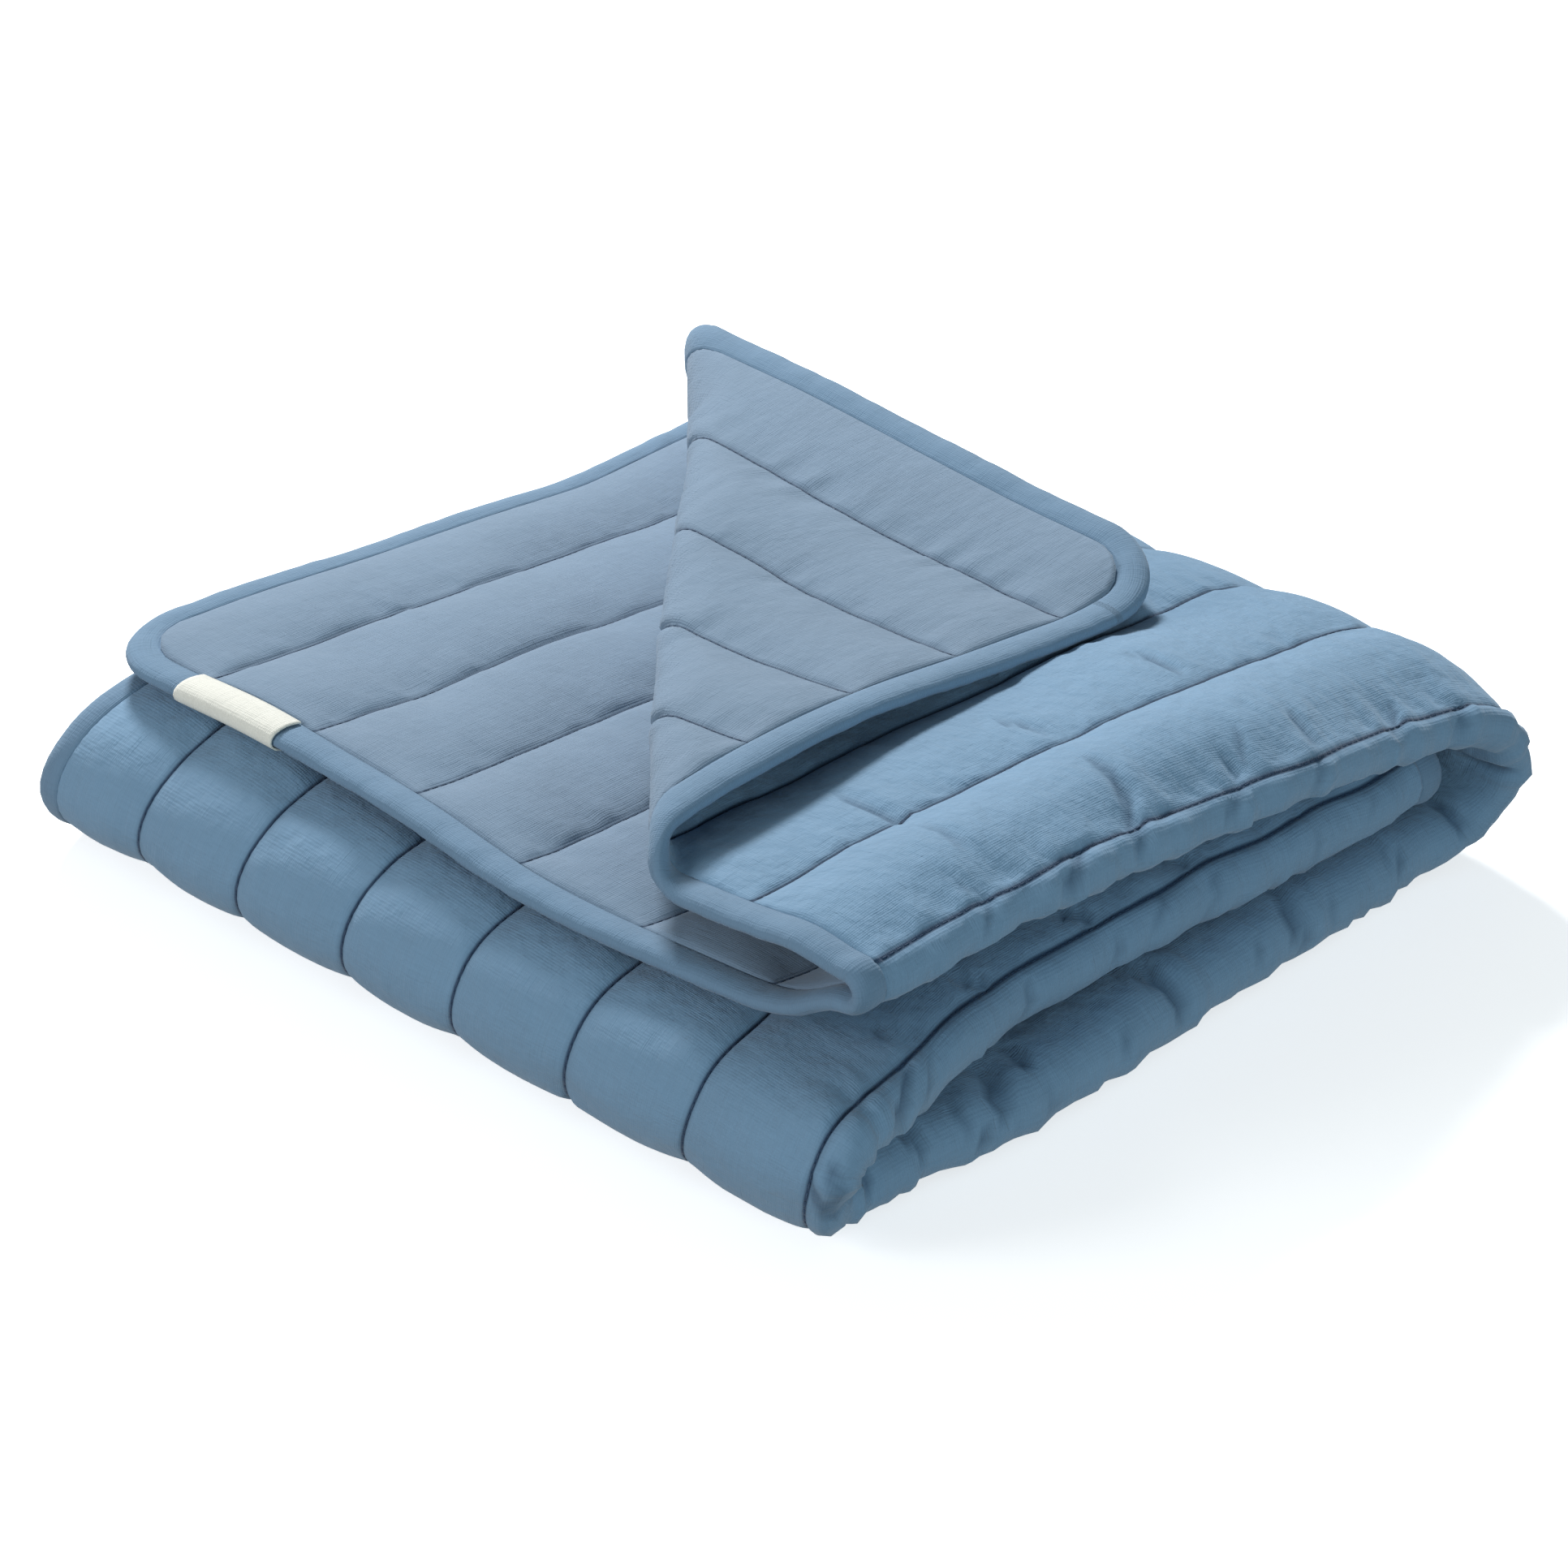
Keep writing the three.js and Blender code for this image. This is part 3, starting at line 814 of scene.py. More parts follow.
def made_piece(
    name: str, points: np.ndarray, faces: list[list[int]], flat: np.ndarray
) -> bpy.types.Object:
    """Makes a smooth mesh object that rides on the blanket's body.

    Args:
        name: The piece's name.
        points: Its vertices in metres.
        faces: The indexes of each face's corners.
        flat: For each vertex its place on the flat cloth and how much painted shade of a seam or crease
            it takes.

    Returns:
        The new object, with the flat places in its attribute "flat".
    """
    mesh = bpy.data.meshes.new(name)
    mesh.from_pydata(points.reshape(-1, 3).tolist(), [], faces)
    places = mesh.attributes.new("flat", "FLOAT_VECTOR", "POINT")
    places.data.foreach_set("vector", flat.ravel().astype(np.float32))
    mesh.shade_smooth()
    mesh.update()
    made = bpy.data.objects.new(name, mesh)
    bpy.context.scene.collection.objects.link(made)
    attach(made, "root")
    LOG.info("%s: %d vertices, %d faces", name, len(mesh.vertices), len(mesh.polygons))
    return made


@dataclass
class ClothGrid:
    """The net of lines over the flat body, closer where a face shows."""

    quilting: Quilting
    seam_steps: tuple[float, ...] = (0, 1.1, 2.6, 5, 8.4, 12.4, 16.6, 21)
    corner_steps: int = 6
    corner_overlap: float = 0.5
    least_step: float = 1
    decimals: int = 3
    squared_off: float = 60
    fine_step: float = 2.7
    loose_step: float = 4.4
    hidden_every: int = 3
    shown: tuple[tuple[float, float], ...] = ((0, 345), (590, 705))

    def across(self) -> np.ndarray:
        """Lays the lines down the channels, from one side of the body to the other.

        Returns:
            Their places over the channels.
        """
        limit = self.quilting.cloth.half_width - self.quilting.binding_width
        inner = self.quilting.corner_radius - self.quilting.binding_width
        turn = np.radians(np.arange(1, self.corner_steps + 1) * 90 / self.corner_steps)
        ends = limit - inner + inner * np.sin(turn)
        steps = np.array(self.seam_steps)
        count = int(2 * self.quilting.cloth.half_width / self.quilting.channel)
        seams = -self.quilting.cloth.half_width + self.quilting.channel * np.arange(count + 1)
        lines = (seams[:, None] + np.concatenate([steps, -steps[1:]])).ravel()
        lines = lines[np.abs(lines) < limit - inner + self.corner_overlap]
        return np.unique(np.round(np.concatenate([lines, ends, -ends]), self.decimals))

    def along(self) -> np.ndarray:
        """Lays the lines over the channels, from one end of the body to the other.

        Returns:
            Their places down the channels.
        """
        first = self.quilting.binding_width
        last = self.quilting.cloth.strip.length - first
        lines = [first]
        while lines[-1] < last:
            near = any(start <= lines[-1] < end for start, end in self.shown)
            lines.append(lines[-1] + (self.fine_step if near else self.loose_step))
        if last - lines[-2] < self.least_step:
            lines.pop()
        lines[-1] = last
        return np.array(lines)

    def kept_for_lining(self, along: np.ndarray) -> list[int]:
        """Chooses the lines over the channels that the lining uses: few where it is hidden.

        Args:
            along: All lines over the channels.

        Returns:
            The places in that list of the lines it uses.
        """
        shown = [n for n, place in enumerate(along) if place < self.quilting.lining_reach]
        hidden = range(shown[-1] + self.hidden_every, len(along) - 1, self.hidden_every)
        return [*shown, *hidden, len(along) - 1]

    def rounded(self, across: np.ndarray, along: np.ndarray) -> tuple[np.ndarray, np.ndarray]:
        """Draws the net's four corners in to the cloth's rounded outline.

        Args:
            across: The net's points, over the channels.
            along: The same points, down the channels.

        Returns:
            Both once they are drawn in.
        """
        inner = self.quilting.corner_radius - self.quilting.binding_width
        straight = self.quilting.cloth.half_width - self.quilting.corner_radius
        over = np.clip(np.abs(across) - straight, 0, inner)
        drawn = inner - np.sqrt(np.maximum(inner**2 - over**2, 0))
        first = self.quilting.binding_width
        length = self.quilting.cloth.strip.length
        near = np.clip((self.squared_off - along) / (self.squared_off - first), 0, 1)
        far = np.clip((along - length + self.squared_off) / (self.squared_off - first), 0, 1)
        return across, along + drawn * near - drawn * far


@dataclass
class QuiltedBody:
    """The quilt inside its binding: outer cloth, lining and the wadding between them, one closed skin."""

    quilting: Quilting
    placing: Placing
    outer_finish: "ClothFinish"
    lining_finish: "ClothFinish"
    # Painted shade: the cloth is darkened along the seams' grooves and down in the creases, where shade
    # falls.
    seam_painted_shade: float = 0.5
    seam_spread: float = 1.6
    crease_painted_shade: float = 0.9
    fully_shaded_crease: float = 2

    def build(self) -> bpy.types.Object:
        """Builds the quilt as one closed mesh whose two sides have their own cloth.

        Returns:
            The new object.
        """
        grid = ClothGrid(self.quilting)
        across, along = grid.across(), grid.along()
        kept = grid.kept_for_lining(along)
        outer, outer_flat = self.layer(grid, across, along, Side.OUTER)
        lining, lining_flat = self.layer(grid, across, along[kept], Side.LINING)
        width, length, short = len(across), len(along), len(kept)
        start = width * length
        faces = self.quads(width, length, 0, False)
        outer_count = len(faces)
        faces += self.quads(width, short, start, True)
        faces += self.rim(width, length, kept, start)
        points = np.concatenate([outer.reshape(-1, 3), lining.reshape(-1, 3)])
        flat = np.concatenate([outer_flat.reshape(-1, 3), lining_flat.reshape(-1, 3)])
        body = made_piece("quilted_cloth", self.placing.metres(points), faces, flat)
        body.data.materials.append(self.outer_finish.material())
        body.data.materials.append(self.lining_finish.material())
        sides = np.ones(len(faces), np.int32)
        sides[:outer_count] = 0
        body.data.polygons.foreach_set("material_index", sides)
        return body

    def layer(
        self, grid: ClothGrid, across: np.ndarray, along: np.ndarray, side: Side
    ) -> tuple[np.ndarray, np.ndarray]:
        """Makes one face of the quilt.

        Args:
            grid: The net.
            across: Its lines down the channels.
            along: Its lines over the channels.
            side: The face.

        Returns:
            The points in millimetres, and for each its flat place and the painted shade of a seam groove
            or crease on it.
        """
        over, down = grid.rounded(*np.meshgrid(across, along, indexing="ij"))
        half = self.quilting.half_thickness(over, down, side)
        points = self.quilting.face(over, down, side.value * half)
        # Painted shade: darker by the seams and down in the creases; the shader reads it from the third
        # value of "flat".
        painted_shade = self.seam_painted_shade * np.exp(-((self.quilting.seam_distance(over) / self.seam_spread) ** 2))
        if side is Side.OUTER:
            for crease in self.quilting.creases:
                depth = np.clip(crease.sunk(over, down) / self.fully_shaded_crease, 0, 1)
                painted_shade = np.maximum(painted_shade, self.crease_painted_shade * depth)
        return points, np.stack([over, down, painted_shade], axis=-1)

    @staticmethod
    def quads(width: int, length: int, start: int, turned: bool) -> list[list[int]]:
        """Lists the faces of a net of points.

        Args:
            width: Number of lines down the channels.
            length: Number of lines over the channels.
            start: Index of the net's first point.
            turned: Whether the faces are turned round, for the side that faces the other way.

        Returns:
            The corners of each face.
        """
        index = start + np.arange(width * length).reshape(width, length)
        corners = [index[:-1, :-1], index[:-1, 1:], index[1:, 1:], index[1:, :-1]]
        if turned:
            corners = corners[::-1]
        return np.stack([corner.ravel() for corner in corners], axis=1).tolist()

    @staticmethod
    def rim(width: int, length: int, kept: list[int], start: int) -> list[list[int]]:
        """Closes the skin round its four sides.

        Args:
            width: Number of lines down the channels.
            length: Number of lines over the channels in the outer face.
            kept: Those of them that the lining has too.
            start: Index of the lining's first point.

        Returns:
            The faces of the rim.
        """
        short = len(kept)
        faces = []
        for n, (low, high) in enumerate(zip(kept[:-1], kept[1:])):
            near = [start + n, start + n + 1]
            faces.append([*near, *range(high, low - 1, -1)])
            far = start + (width - 1) * short + n
            side = (width - 1) * length
            faces.append([far + 1, far, *range(side + low, side + high + 1)])
        for i in range(width - 1):
            first, second = start + i * short, start + (i + 1) * short
            faces.append([i * length, (i + 1) * length, second, first])
            end, after = (i + 1) * length - 1, (i + 2) * length - 1
            faces.append([after, end, first + short - 1, second + short - 1])
        return faces


@dataclass
class Rim:
    """The line round the body's edge, on which the binding runs."""

    quilting: Quilting
    step: float = 2.6
    corner_steps: int = 14

    def places(self, inset: float) -> tuple[np.ndarray, np.ndarray]:
        """Walks round the rounded outline.

        Args:
            inset: How far inside the cloth's edge the line runs.

        Returns:
            The flat places, and for each the unit direction out of the cloth.
        """
        radius = self.quilting.corner_radius - inset
        half = self.quilting.cloth.half_width - inset
        length = self.quilting.cloth.strip.length
        low, high = inset + radius, length - inset - radius
        corners = [
            (half - radius, low, -90),
            (half - radius, high, 0),
            (radius - half, high, 90),
            (radius - half, low, 180),
        ]
        spots, ways = [], []
        for n, (over, down, start) in enumerate(corners):
            turn = np.radians(start + np.arange(self.corner_steps + 1) * 90 / self.corner_steps)
            way = np.stack([np.cos(turn), np.sin(turn)], axis=1)
            arc = np.array([over, down]) + radius * way
            last = np.array(corners[(n + 1) % 4][:2]) + radius * way[-1]
            count = max(int(np.linalg.norm(last - arc[-1]) / self.step), 1)
            run = blended(arc[-1][None], last[None], (np.arange(1, count) / count)[:, None])
            spots += [arc, run]
            ways += [way, np.repeat(way[-1][None], len(run), axis=0)]
        return np.concatenate(spots), np.concatenate(ways)


@dataclass
class EdgeBinding:
    """The strip of the same cloth that is folded over the quilt's raw edge all round."""

    quilting: Quilting
    placing: Placing
    finish: "ClothFinish"
    gap: float = 0.4
    half_section: tuple[tuple[float, float], ...] = (
        (-0.9, 1.9), (-0.6, 2.5), (0.6, 2.75), (2.4, 3.05),
        (4.6, 3.15), (6.8, 2.8), (8.6, 2.1), (9.6, 1.1),
    )
    nose: tuple[float, float] = (9.9, 0.0)
    gathers: SoftNoise = SoftNoise(31)
    gather_length: float = 5.0
    gather_row: float = 9
    gather_step: float = 3
    gather_ease: float = 3
    gather_height: float = 0.22

    @property
    def section(self) -> np.ndarray:
        """The strip's section, outward along the cloth and off it: outer side, nose and inner side."""
        outer = np.array(self.half_section)
        return np.concatenate([outer, [self.nose], (outer * (1, -1))[::-1]])

    def swept(self, places: np.ndarray, ways: np.ndarray, section: np.ndarray) -> np.ndarray:
        """Sweeps a section along a line in the cloth.

        Args:
            places: Flat places of the line.
            ways: Unit directions out of the cloth.
            section: Points of the section, outward along the cloth and off it; one section for the
                whole line, or one for each place.

        Returns:
            A grid of points in millimetres.
        """
        out = section[..., 0] + self.gap
        across = places[:, None, 0] + ways[:, None, 0] * out
        along = places[:, None, 1] + ways[:, None, 1] * out
        return self.quilting.face(across, along, section[..., 1])

    def build(self) -> bpy.types.Object:
        """Builds the binding as one closed ring.

        Returns:
            The new object.
        """
        rim = Rim(self.quilting)
        places, ways = rim.places(self.quilting.binding_width)
        section = self.section
        run = (np.arange(len(places)) * rim.step)[:, None]
        side = np.sign(section[None, :, 1])
        wave = self.gathers.at(run / self.gather_length, side * self.gather_step + self.gather_row)
        gathered = section[None] * np.ones((len(places), 1, 1))
        body = np.clip(section[None, :, 0] / self.gather_ease, 0, 1)
        gathered[..., 1] += side * wave * self.gather_height * body
        points = self.swept(places, ways, gathered)
        faces = ring_faces(len(places), len(section))
        out = gathered[..., 0] + self.gap
        flat = np.stack([np.broadcast_to(run, out.shape), out, np.zeros_like(out)], axis=-1)
        made = made_piece("bound_edge", self.placing.metres(points), faces, flat)
        made.data.materials.append(self.finish.material())
        return made


def ring_faces(length: int, size: int) -> list[list[int]]:
    """Lists the faces of a closed ring.

    Args:
        length: Number of sections round the ring.
        size: Number of points in a section.

    Returns:
        The corners of each face.
    """
    index = np.arange(length * size).reshape(length, size)
    after, beside = np.roll(index, -1, axis=0), np.roll(index, -1, axis=1)
    corner = np.roll(after, -1, axis=1)
    return np.stack([index.ravel(), beside.ravel(), corner.ravel(), after.ravel()], axis=1).tolist()


@dataclass
class LabelTape:
    """The blank tape that is folded over the binding of the short edge."""

    binding: EdgeBinding
    placing: Placing
    finish: "ClothFinish"
    start: float = -302
    end: float = -255
    steps: int = 36
    thickness: float = 0.55
    stand_off: float = 0.45

    def build(self) -> bpy.types.Object:
        """Builds the folded tape as one closed band.

        Returns:
            The new object.
        """
        section = self.binding.section[1:-1]
        run = unit(np.gradient(section, axis=0))
        outward = np.stack([-run[:, 1], run[:, 0]], axis=1)
        outward[0], outward[-1] = (0, 1), (0, -1)
        inside = section + outward * self.stand_off
        outside = section + outward * (self.stand_off + self.thickness)
        closed = np.concatenate([inside, outside[::-1]])
        width = self.binding.quilting.binding_width
        over = np.linspace(self.start, self.end, self.steps + 1)
        places = np.stack([over, np.full_like(over, width)], axis=1)
        ways = np.tile([0.0, -1.0], (self.steps + 1, 1))
        points = self.binding.swept(places, ways, closed)
        size = len(closed)
        index = np.arange(points.shape[0] * size).reshape(-1, size)
        beside = np.roll(index, -1, axis=1)
        corners = [index[:-1], index[1:], beside[1:], beside[:-1]]
        faces = np.stack(corners, axis=-1).reshape(-1, 4).tolist()
        half = size // 2
        for row, turned in ((index[0], False), (index[-1], True)):
            for n in range(half - 1):
                cap = [row[n], row[n + 1], row[size - 2 - n], row[size - 1 - n]]
                faces.append([int(corner) for corner in (cap[::-1] if turned else cap)])
        flat = np.stack([
            np.broadcast_to(places[:, None, 0], points.shape[:2]),
            np.broadcast_to(closed[None, :, 0], points.shape[:2]),
            np.zeros(points.shape[:2]),
        ], axis=-1)
        made = made_piece("folded_label", self.placing.metres(points), faces, flat)
        made.data.materials.append(self.finish.material())
        return made


@dataclass
class StitchRows:
    """The running stitches: one row in every seam, on both faces."""

    quilting: Quilting
    placing: Placing
    finish: "ThreadFinish"
    start: float = 13
    pitch: float = 3.1
    length: float = 2.5
    radius: float = 0.26
    clear: float = 0.12
    shoulders: tuple[float, float] = (0.28, 0.72)
    ring: tuple[tuple[float, float], ...] = ((1, 0), (0, 1), (-1, 0), (0, -1))
    skew: tuple[float, float, float] = (0.31, 0.17, 0.94)

    def spots(self) -> tuple[np.ndarray, np.ndarray]:
        """Sets out the stitches along the seams.

        Returns:
            The two ends of every stitch, in millimetres.
        """
        cloth = self.quilting.cloth
        count = int(2 * cloth.half_width / self.quilting.channel)
        starts, ends = [], []
        for side in Side:
            reach = cloth.strip.length - self.start if side is Side.OUTER else self.quilting.lining_reach
            along = np.arange(self.start, reach - self.pitch, self.pitch)
            for n in range(1, count):
                seam = np.full_like(along, n * self.quilting.channel - cloth.half_width)
                for place, kept in ((along, starts), (along + self.length, ends)):
                    half = self.quilting.half_thickness(seam, place, side) + self.clear
                    kept.append(self.quilting.face(seam, place, side.value * half))
        return np.concatenate(starts), np.concatenate(ends)

    def spindle_faces(self) -> list[list[int]]:
        """Lists the faces of one stitch, whose points are its two tips and then its two rings.

        Returns:
            Four corners for each face, the last one twice where it has only three.
        """
        size = len(self.ring)
        faces = []
        for n in range(size):
            first, second = 2 + n, 2 + (n + 1) % size
            faces.append([0, first, second, second])
            faces.append([first, first + size, second + size, second])
            faces.append([1, second + size, first + size, first + size])
        return faces

    def build(self) -> bpy.types.Object:
        """Builds all stitches as one mesh of small closed spindles.

        Returns:
            The new object.
        """
        start, end = self.spots()
        run = unit(end - start)
        beside = unit(np.cross(run, np.array(self.skew)))
        over = np.cross(run, beside)
        points = [start, end]
        for share in self.shoulders:
            middle = blended(start, end, share)
            for one, other in self.ring:
                points.append(middle + (beside * one + over * other) * self.radius)
        points = np.stack(points, axis=1)
        spindle = np.array(self.spindle_faces())
        firsts = points.shape[1] * np.arange(len(start))
        corners = (firsts[:, None, None] + spindle[None]).reshape(-1, 4).tolist()
        corners = [corner[:3] if corner[2] == corner[3] else corner for corner in corners]
        made = made_piece("seam_stitches", self.placing.metres(points), corners, np.zeros_like(points))
        made.data.materials.append(self.finish.material())
        return made


@dataclass
class Shader:
    """A node material under construction."""

    name: str

    def __post_init__(self) -> None:
        """Starts the material with its own shader node."""
        self.made = bpy.data.materials.new(self.name)
        self.made.use_nodes = True
        self.nodes = self.made.node_tree.nodes
        self.links = self.made.node_tree.links
        self.surface = self.nodes["Principled BSDF"]

    def add(self, kind: str, inputs: dict, **settings: object) -> bpy.types.Node:
        """Adds a node.

        Args:
            kind: The node's type.
            inputs: For each socket a value, or another node's output socket.
            **settings: The node's own properties.

        Returns:
            The node.
        """
        node = self.nodes.new(kind)
        for name, value in settings.items():
            setattr(node, name, value)
        for name, value in inputs.items():
            if isinstance(value, bpy.types.NodeSocket):
                self.links.new(value, node.inputs[name])
            else:
                node.inputs[name].default_value = value
        return node

    def math(self, operation: str, first: object, second: object) -> bpy.types.NodeSocket:
        """Returns the result of a sum on two values or sockets."""
        return self.add("ShaderNodeMath", {0: first, 1: second}, operation=operation).outputs[0]

    def ramp(
        self, value: object, start: tuple[float, float], end: tuple[float, float]
    ) -> bpy.types.NodeSocket:
        """Carries a value from one range to another.

        Args:
            value: The value, or its socket.
            start: The range it comes from.
            end: The range it goes to, and in which it is held.

        Returns:
            The new value's socket.
        """
        names = ("From Min", "From Max", "To Min", "To Max")
        inputs = {"Value": value, **dict(zip(names, (*start, *end)))}
        return self.add("ShaderNodeMapRange", inputs, clamp=True).outputs[0]

    def stretched(self, place: object, stretch: tuple[float, float, float]) -> bpy.types.NodeSocket:
        """Returns places multiplied by a factor for each axis."""
        return self.add("ShaderNodeVectorMath", {0: place, 1: stretch}, operation="MULTIPLY").outputs[0]

    def noise(
        self, place: object, stretch: tuple[float, float, float], detail: float
    ) -> bpy.types.NodeSocket:
        """Returns noise over the flat cloth, stretched along its threads."""
        inputs = {"Vector": self.stretched(place, stretch), "Scale": 1.0, "Detail": detail}
        return self.add("ShaderNodeTexNoise", inputs).outputs["Fac"]

    def threads(
        self, place: object, pitch: float, wobble: float, direction: str
    ) -> bpy.types.NodeSocket:
        """Draws the threads of one direction.

        Args:
            place: Place on the flat cloth.
            pitch: How far apart the threads lie.
            wobble: How much they wander.
            direction: The axis over which they lie side by side.

        Returns:
            The threads' height, from 0 to 1.
        """
        # At scale 1 the texture's bands lie pi / 10 apart.
        inputs = {"Vector": place, "Scale": math.pi / 10 / pitch, "Distortion": wobble, "Detail": 1.0}
        return self.add("ShaderNodeTexWave", inputs, bands_direction=direction).outputs["Fac"]

    def tinted(self, colour: tuple[int, int, int], tone: bpy.types.NodeSocket) -> bpy.types.NodeSocket:
        """Returns a screen colour made lighter or darker by a tone."""
        inputs = {0: linear(colour)[:3], "Scale": tone}
        return self.add("ShaderNodeVectorMath", inputs, operation="SCALE").outputs[0]

    def bump(
        self, height: object, relief: tuple[float, float], under: object = None
    ) -> bpy.types.NodeSocket:
        """Adds small relief to the surface.

        Args:
            height: The relief's height, about 0 to 1.
            relief: Its strength, and its depth in metres.
            under: The normal that it starts from, where there is other relief already.

        Returns:
            The normal of the surface with the relief.
        """
        inputs = {"Height": height, "Strength": relief[0], "Distance": relief[1]}
        if under is not None:
            inputs["Normal"] = under
        return self.add("ShaderNodeBump", inputs).outputs[0]

    def dress(self, colour: bpy.types.NodeSocket, values: dict[str, float]) -> None:
        """Gives the surface its looks.

        Args:
            colour: The colour's socket.
            values: Plain values of other sockets, by their names.
        """
        self.links.new(colour, self.surface.inputs["Base Color"])
        for name, value in values.items():
            self.surface.inputs[name].default_value = value


def linear(colour: tuple[int, int, int]) -> tuple[float, float, float, float]:
    """Turns a screen colour into linear light.

    Args:
        colour: Red, green and blue from 0 to 255.

    Returns:
        The same from 0 to 1, and full opacity.
    """
    parts = [value / 255 for value in colour]
    light = [part / 12.92 if part <= 0.04045 else ((part + 0.055) / 1.055) ** 2.4 for part in parts]
    return (*light, 1.0)


@dataclass(frozen=True)
class ClothFinish:
    """A plain-woven cotton: its threads, its small creases, its dark seam lines that are partly thread
    and partly painted shade of the groove, and painted shade in its creases.

    A stretch is in steps of noise for each millimetre; a relief is a strength and a depth in metres.
    """

    name: str
    colour: tuple[int, int, int]
    # The colour of the seams' dark line, partly thread and partly painted shade, and of the painted shade
    # in the creases.
    seam_thread_and_shade_colour: tuple[int, int, int]
    crinkle: float
    seam_spacing: float = 0.0
    seam_width: float = 0.0
    seam_core: float = 0.2
    seam_edge: float = 0.7
    seam_dark: float = 0.95
    # Painted shade: how the mesh's seam and crease value turns into the dark colour.
    first_painted_shade: float = 0.1
    most_painted_shade: float = 0.62
    slub_stretch: tuple[float, float] = (1.5, 0.09)
    slub_range: tuple[float, float] = (0.6, 1.4)
    slub_tone: tuple[float, float] = (0.95, 1.05)
    mottle_stretch: tuple[float, float, float] = (0.03, 0.03, 1)
    mottle_range: tuple[float, float] = (0.3, 0.7)
    mottle_tone: tuple[float, float] = (-0.03, 0.03)
    crinkle_stretch: tuple[float, float, float] = (0.11, 0.16, 1)
    thread_pitch: float = 0.75
    thread_wobble: float = 0.6
    thread_relief: tuple[float, float] = (0.35, 0.00012)
    slub_relief: tuple[float, float] = (0.4, 0.0004)
    crinkle_depth: float = 0.0016
    fine: float = 2.0
    finer: float = 3.0
    roughness: float = 0.9
    sheen: float = 0.15
    sheen_roughness: float = 0.5
    specular: float = 0.25

    def seam_line_and_painted_shade(self, shader: Shader, place: bpy.types.NodeSocket) -> bpy.types.NodeSocket:
        """Paints shade into the seam grooves and the creases, and draws each seam's dark line, partly
        thread and partly painted shade.

        Args:
            shader: The material.
            place: Place on the flat cloth, and how much painted shade of a seam or crease it takes.

        Returns:
            How much of the colour of the seam line and the painted shade shows.
        """
        parts = shader.add("ShaderNodeSeparateXYZ", {"Vector": place}).outputs
        # Painted shade of the seam grooves and the creases, read from the mesh.
        dark = shader.ramp(parts["Z"], (self.first_painted_shade, 1.0), (0.0, self.most_painted_shade))
        if not self.seam_spacing:
            return dark
        # The crisp dark line of each seam: partly the thread's colour, partly painted shade of its
        # groove.
        off = shader.math("PINGPONG", parts["X"], self.seam_spacing / 2)
        widths = (self.seam_core * self.seam_width, self.seam_edge * self.seam_width)
        return shader.math("MAXIMUM", dark, shader.ramp(off, widths, (self.seam_dark, 0.0)))

    def material(self) -> bpy.types.Material:
        """Builds the finish.

        Returns:
            The node material.
        """
        shader = Shader(self.name)
        place = shader.add("ShaderNodeAttribute", {}, attribute_name="flat").outputs["Vector"]
        cloth = shader.stretched(place, (1, 1, 0))
        over, down = self.slub_stretch
        warp = shader.noise(cloth, (over, down, 1), self.fine)
        weft = shader.noise(cloth, (down, over, 1), self.fine)
        slubs = shader.math("ADD", warp, weft)
        mottle = shader.noise(cloth, self.mottle_stretch, self.finer)
        slub_tone = shader.ramp(slubs, self.slub_range, self.slub_tone)
        tone = shader.math("ADD", slub_tone, shader.ramp(mottle, self.mottle_range, self.mottle_tone))
        colours = {6: shader.tinted(self.colour, tone), 7: linear(self.seam_thread_and_shade_colour)}
        # How far the colour goes over to the dark seam line and the painted shade.
        dark = self.seam_line_and_painted_shade(shader, place)
        mixed = shader.add("ShaderNodeMix", {0: dark, **colours}, data_type="RGBA").outputs[2]
        runs = [shader.threads(cloth, self.thread_pitch, self.thread_wobble, way) for way in "XY"]
        woven = shader.bump(shader.math("ADD", *runs), self.thread_relief)
        slubbed = shader.bump(slubs, self.slub_relief, woven)
        small = shader.noise(cloth, self.crinkle_stretch, self.finer)
        creased = shader.bump(small, (self.crinkle, self.crinkle_depth), slubbed)
        shader.links.new(creased, shader.surface.inputs["Normal"])
        shader.dress(mixed, {
            "Roughness": self.roughness,
            "Sheen Weight": self.sheen,
            "Sheen Roughness": self.sheen_roughness,
            "Specular IOR Level": self.specular,
        })
        return shader.made


@dataclass(frozen=True)
class ThreadFinish:
    """A twisted sewing thread."""

    name: str
    colour: tuple[int, int, int]
    twists: float = 2500.0
    twist_range: tuple[float, float] = (0.3, 0.7)
    twist_tone: tuple[float, float] = (0.8, 1.15)
    roughness: float = 0.7

    def material(self) -> bpy.types.Material:
        """Builds the finish.

        Returns:
            The node material.
        """
        shader = Shader(self.name)
        place = shader.add("ShaderNodeTexCoord", {}).outputs["Object"]
        inputs = {"Vector": place, "Scale": self.twists, "Detail": 1.0}
        twist = shader.add("ShaderNodeTexNoise", inputs).outputs["Fac"]
        tone = shader.ramp(twist, self.twist_range, self.twist_tone)
        shader.dress(shader.tinted(self.colour, tone), {"Roughness": self.roughness})
        return shader.made


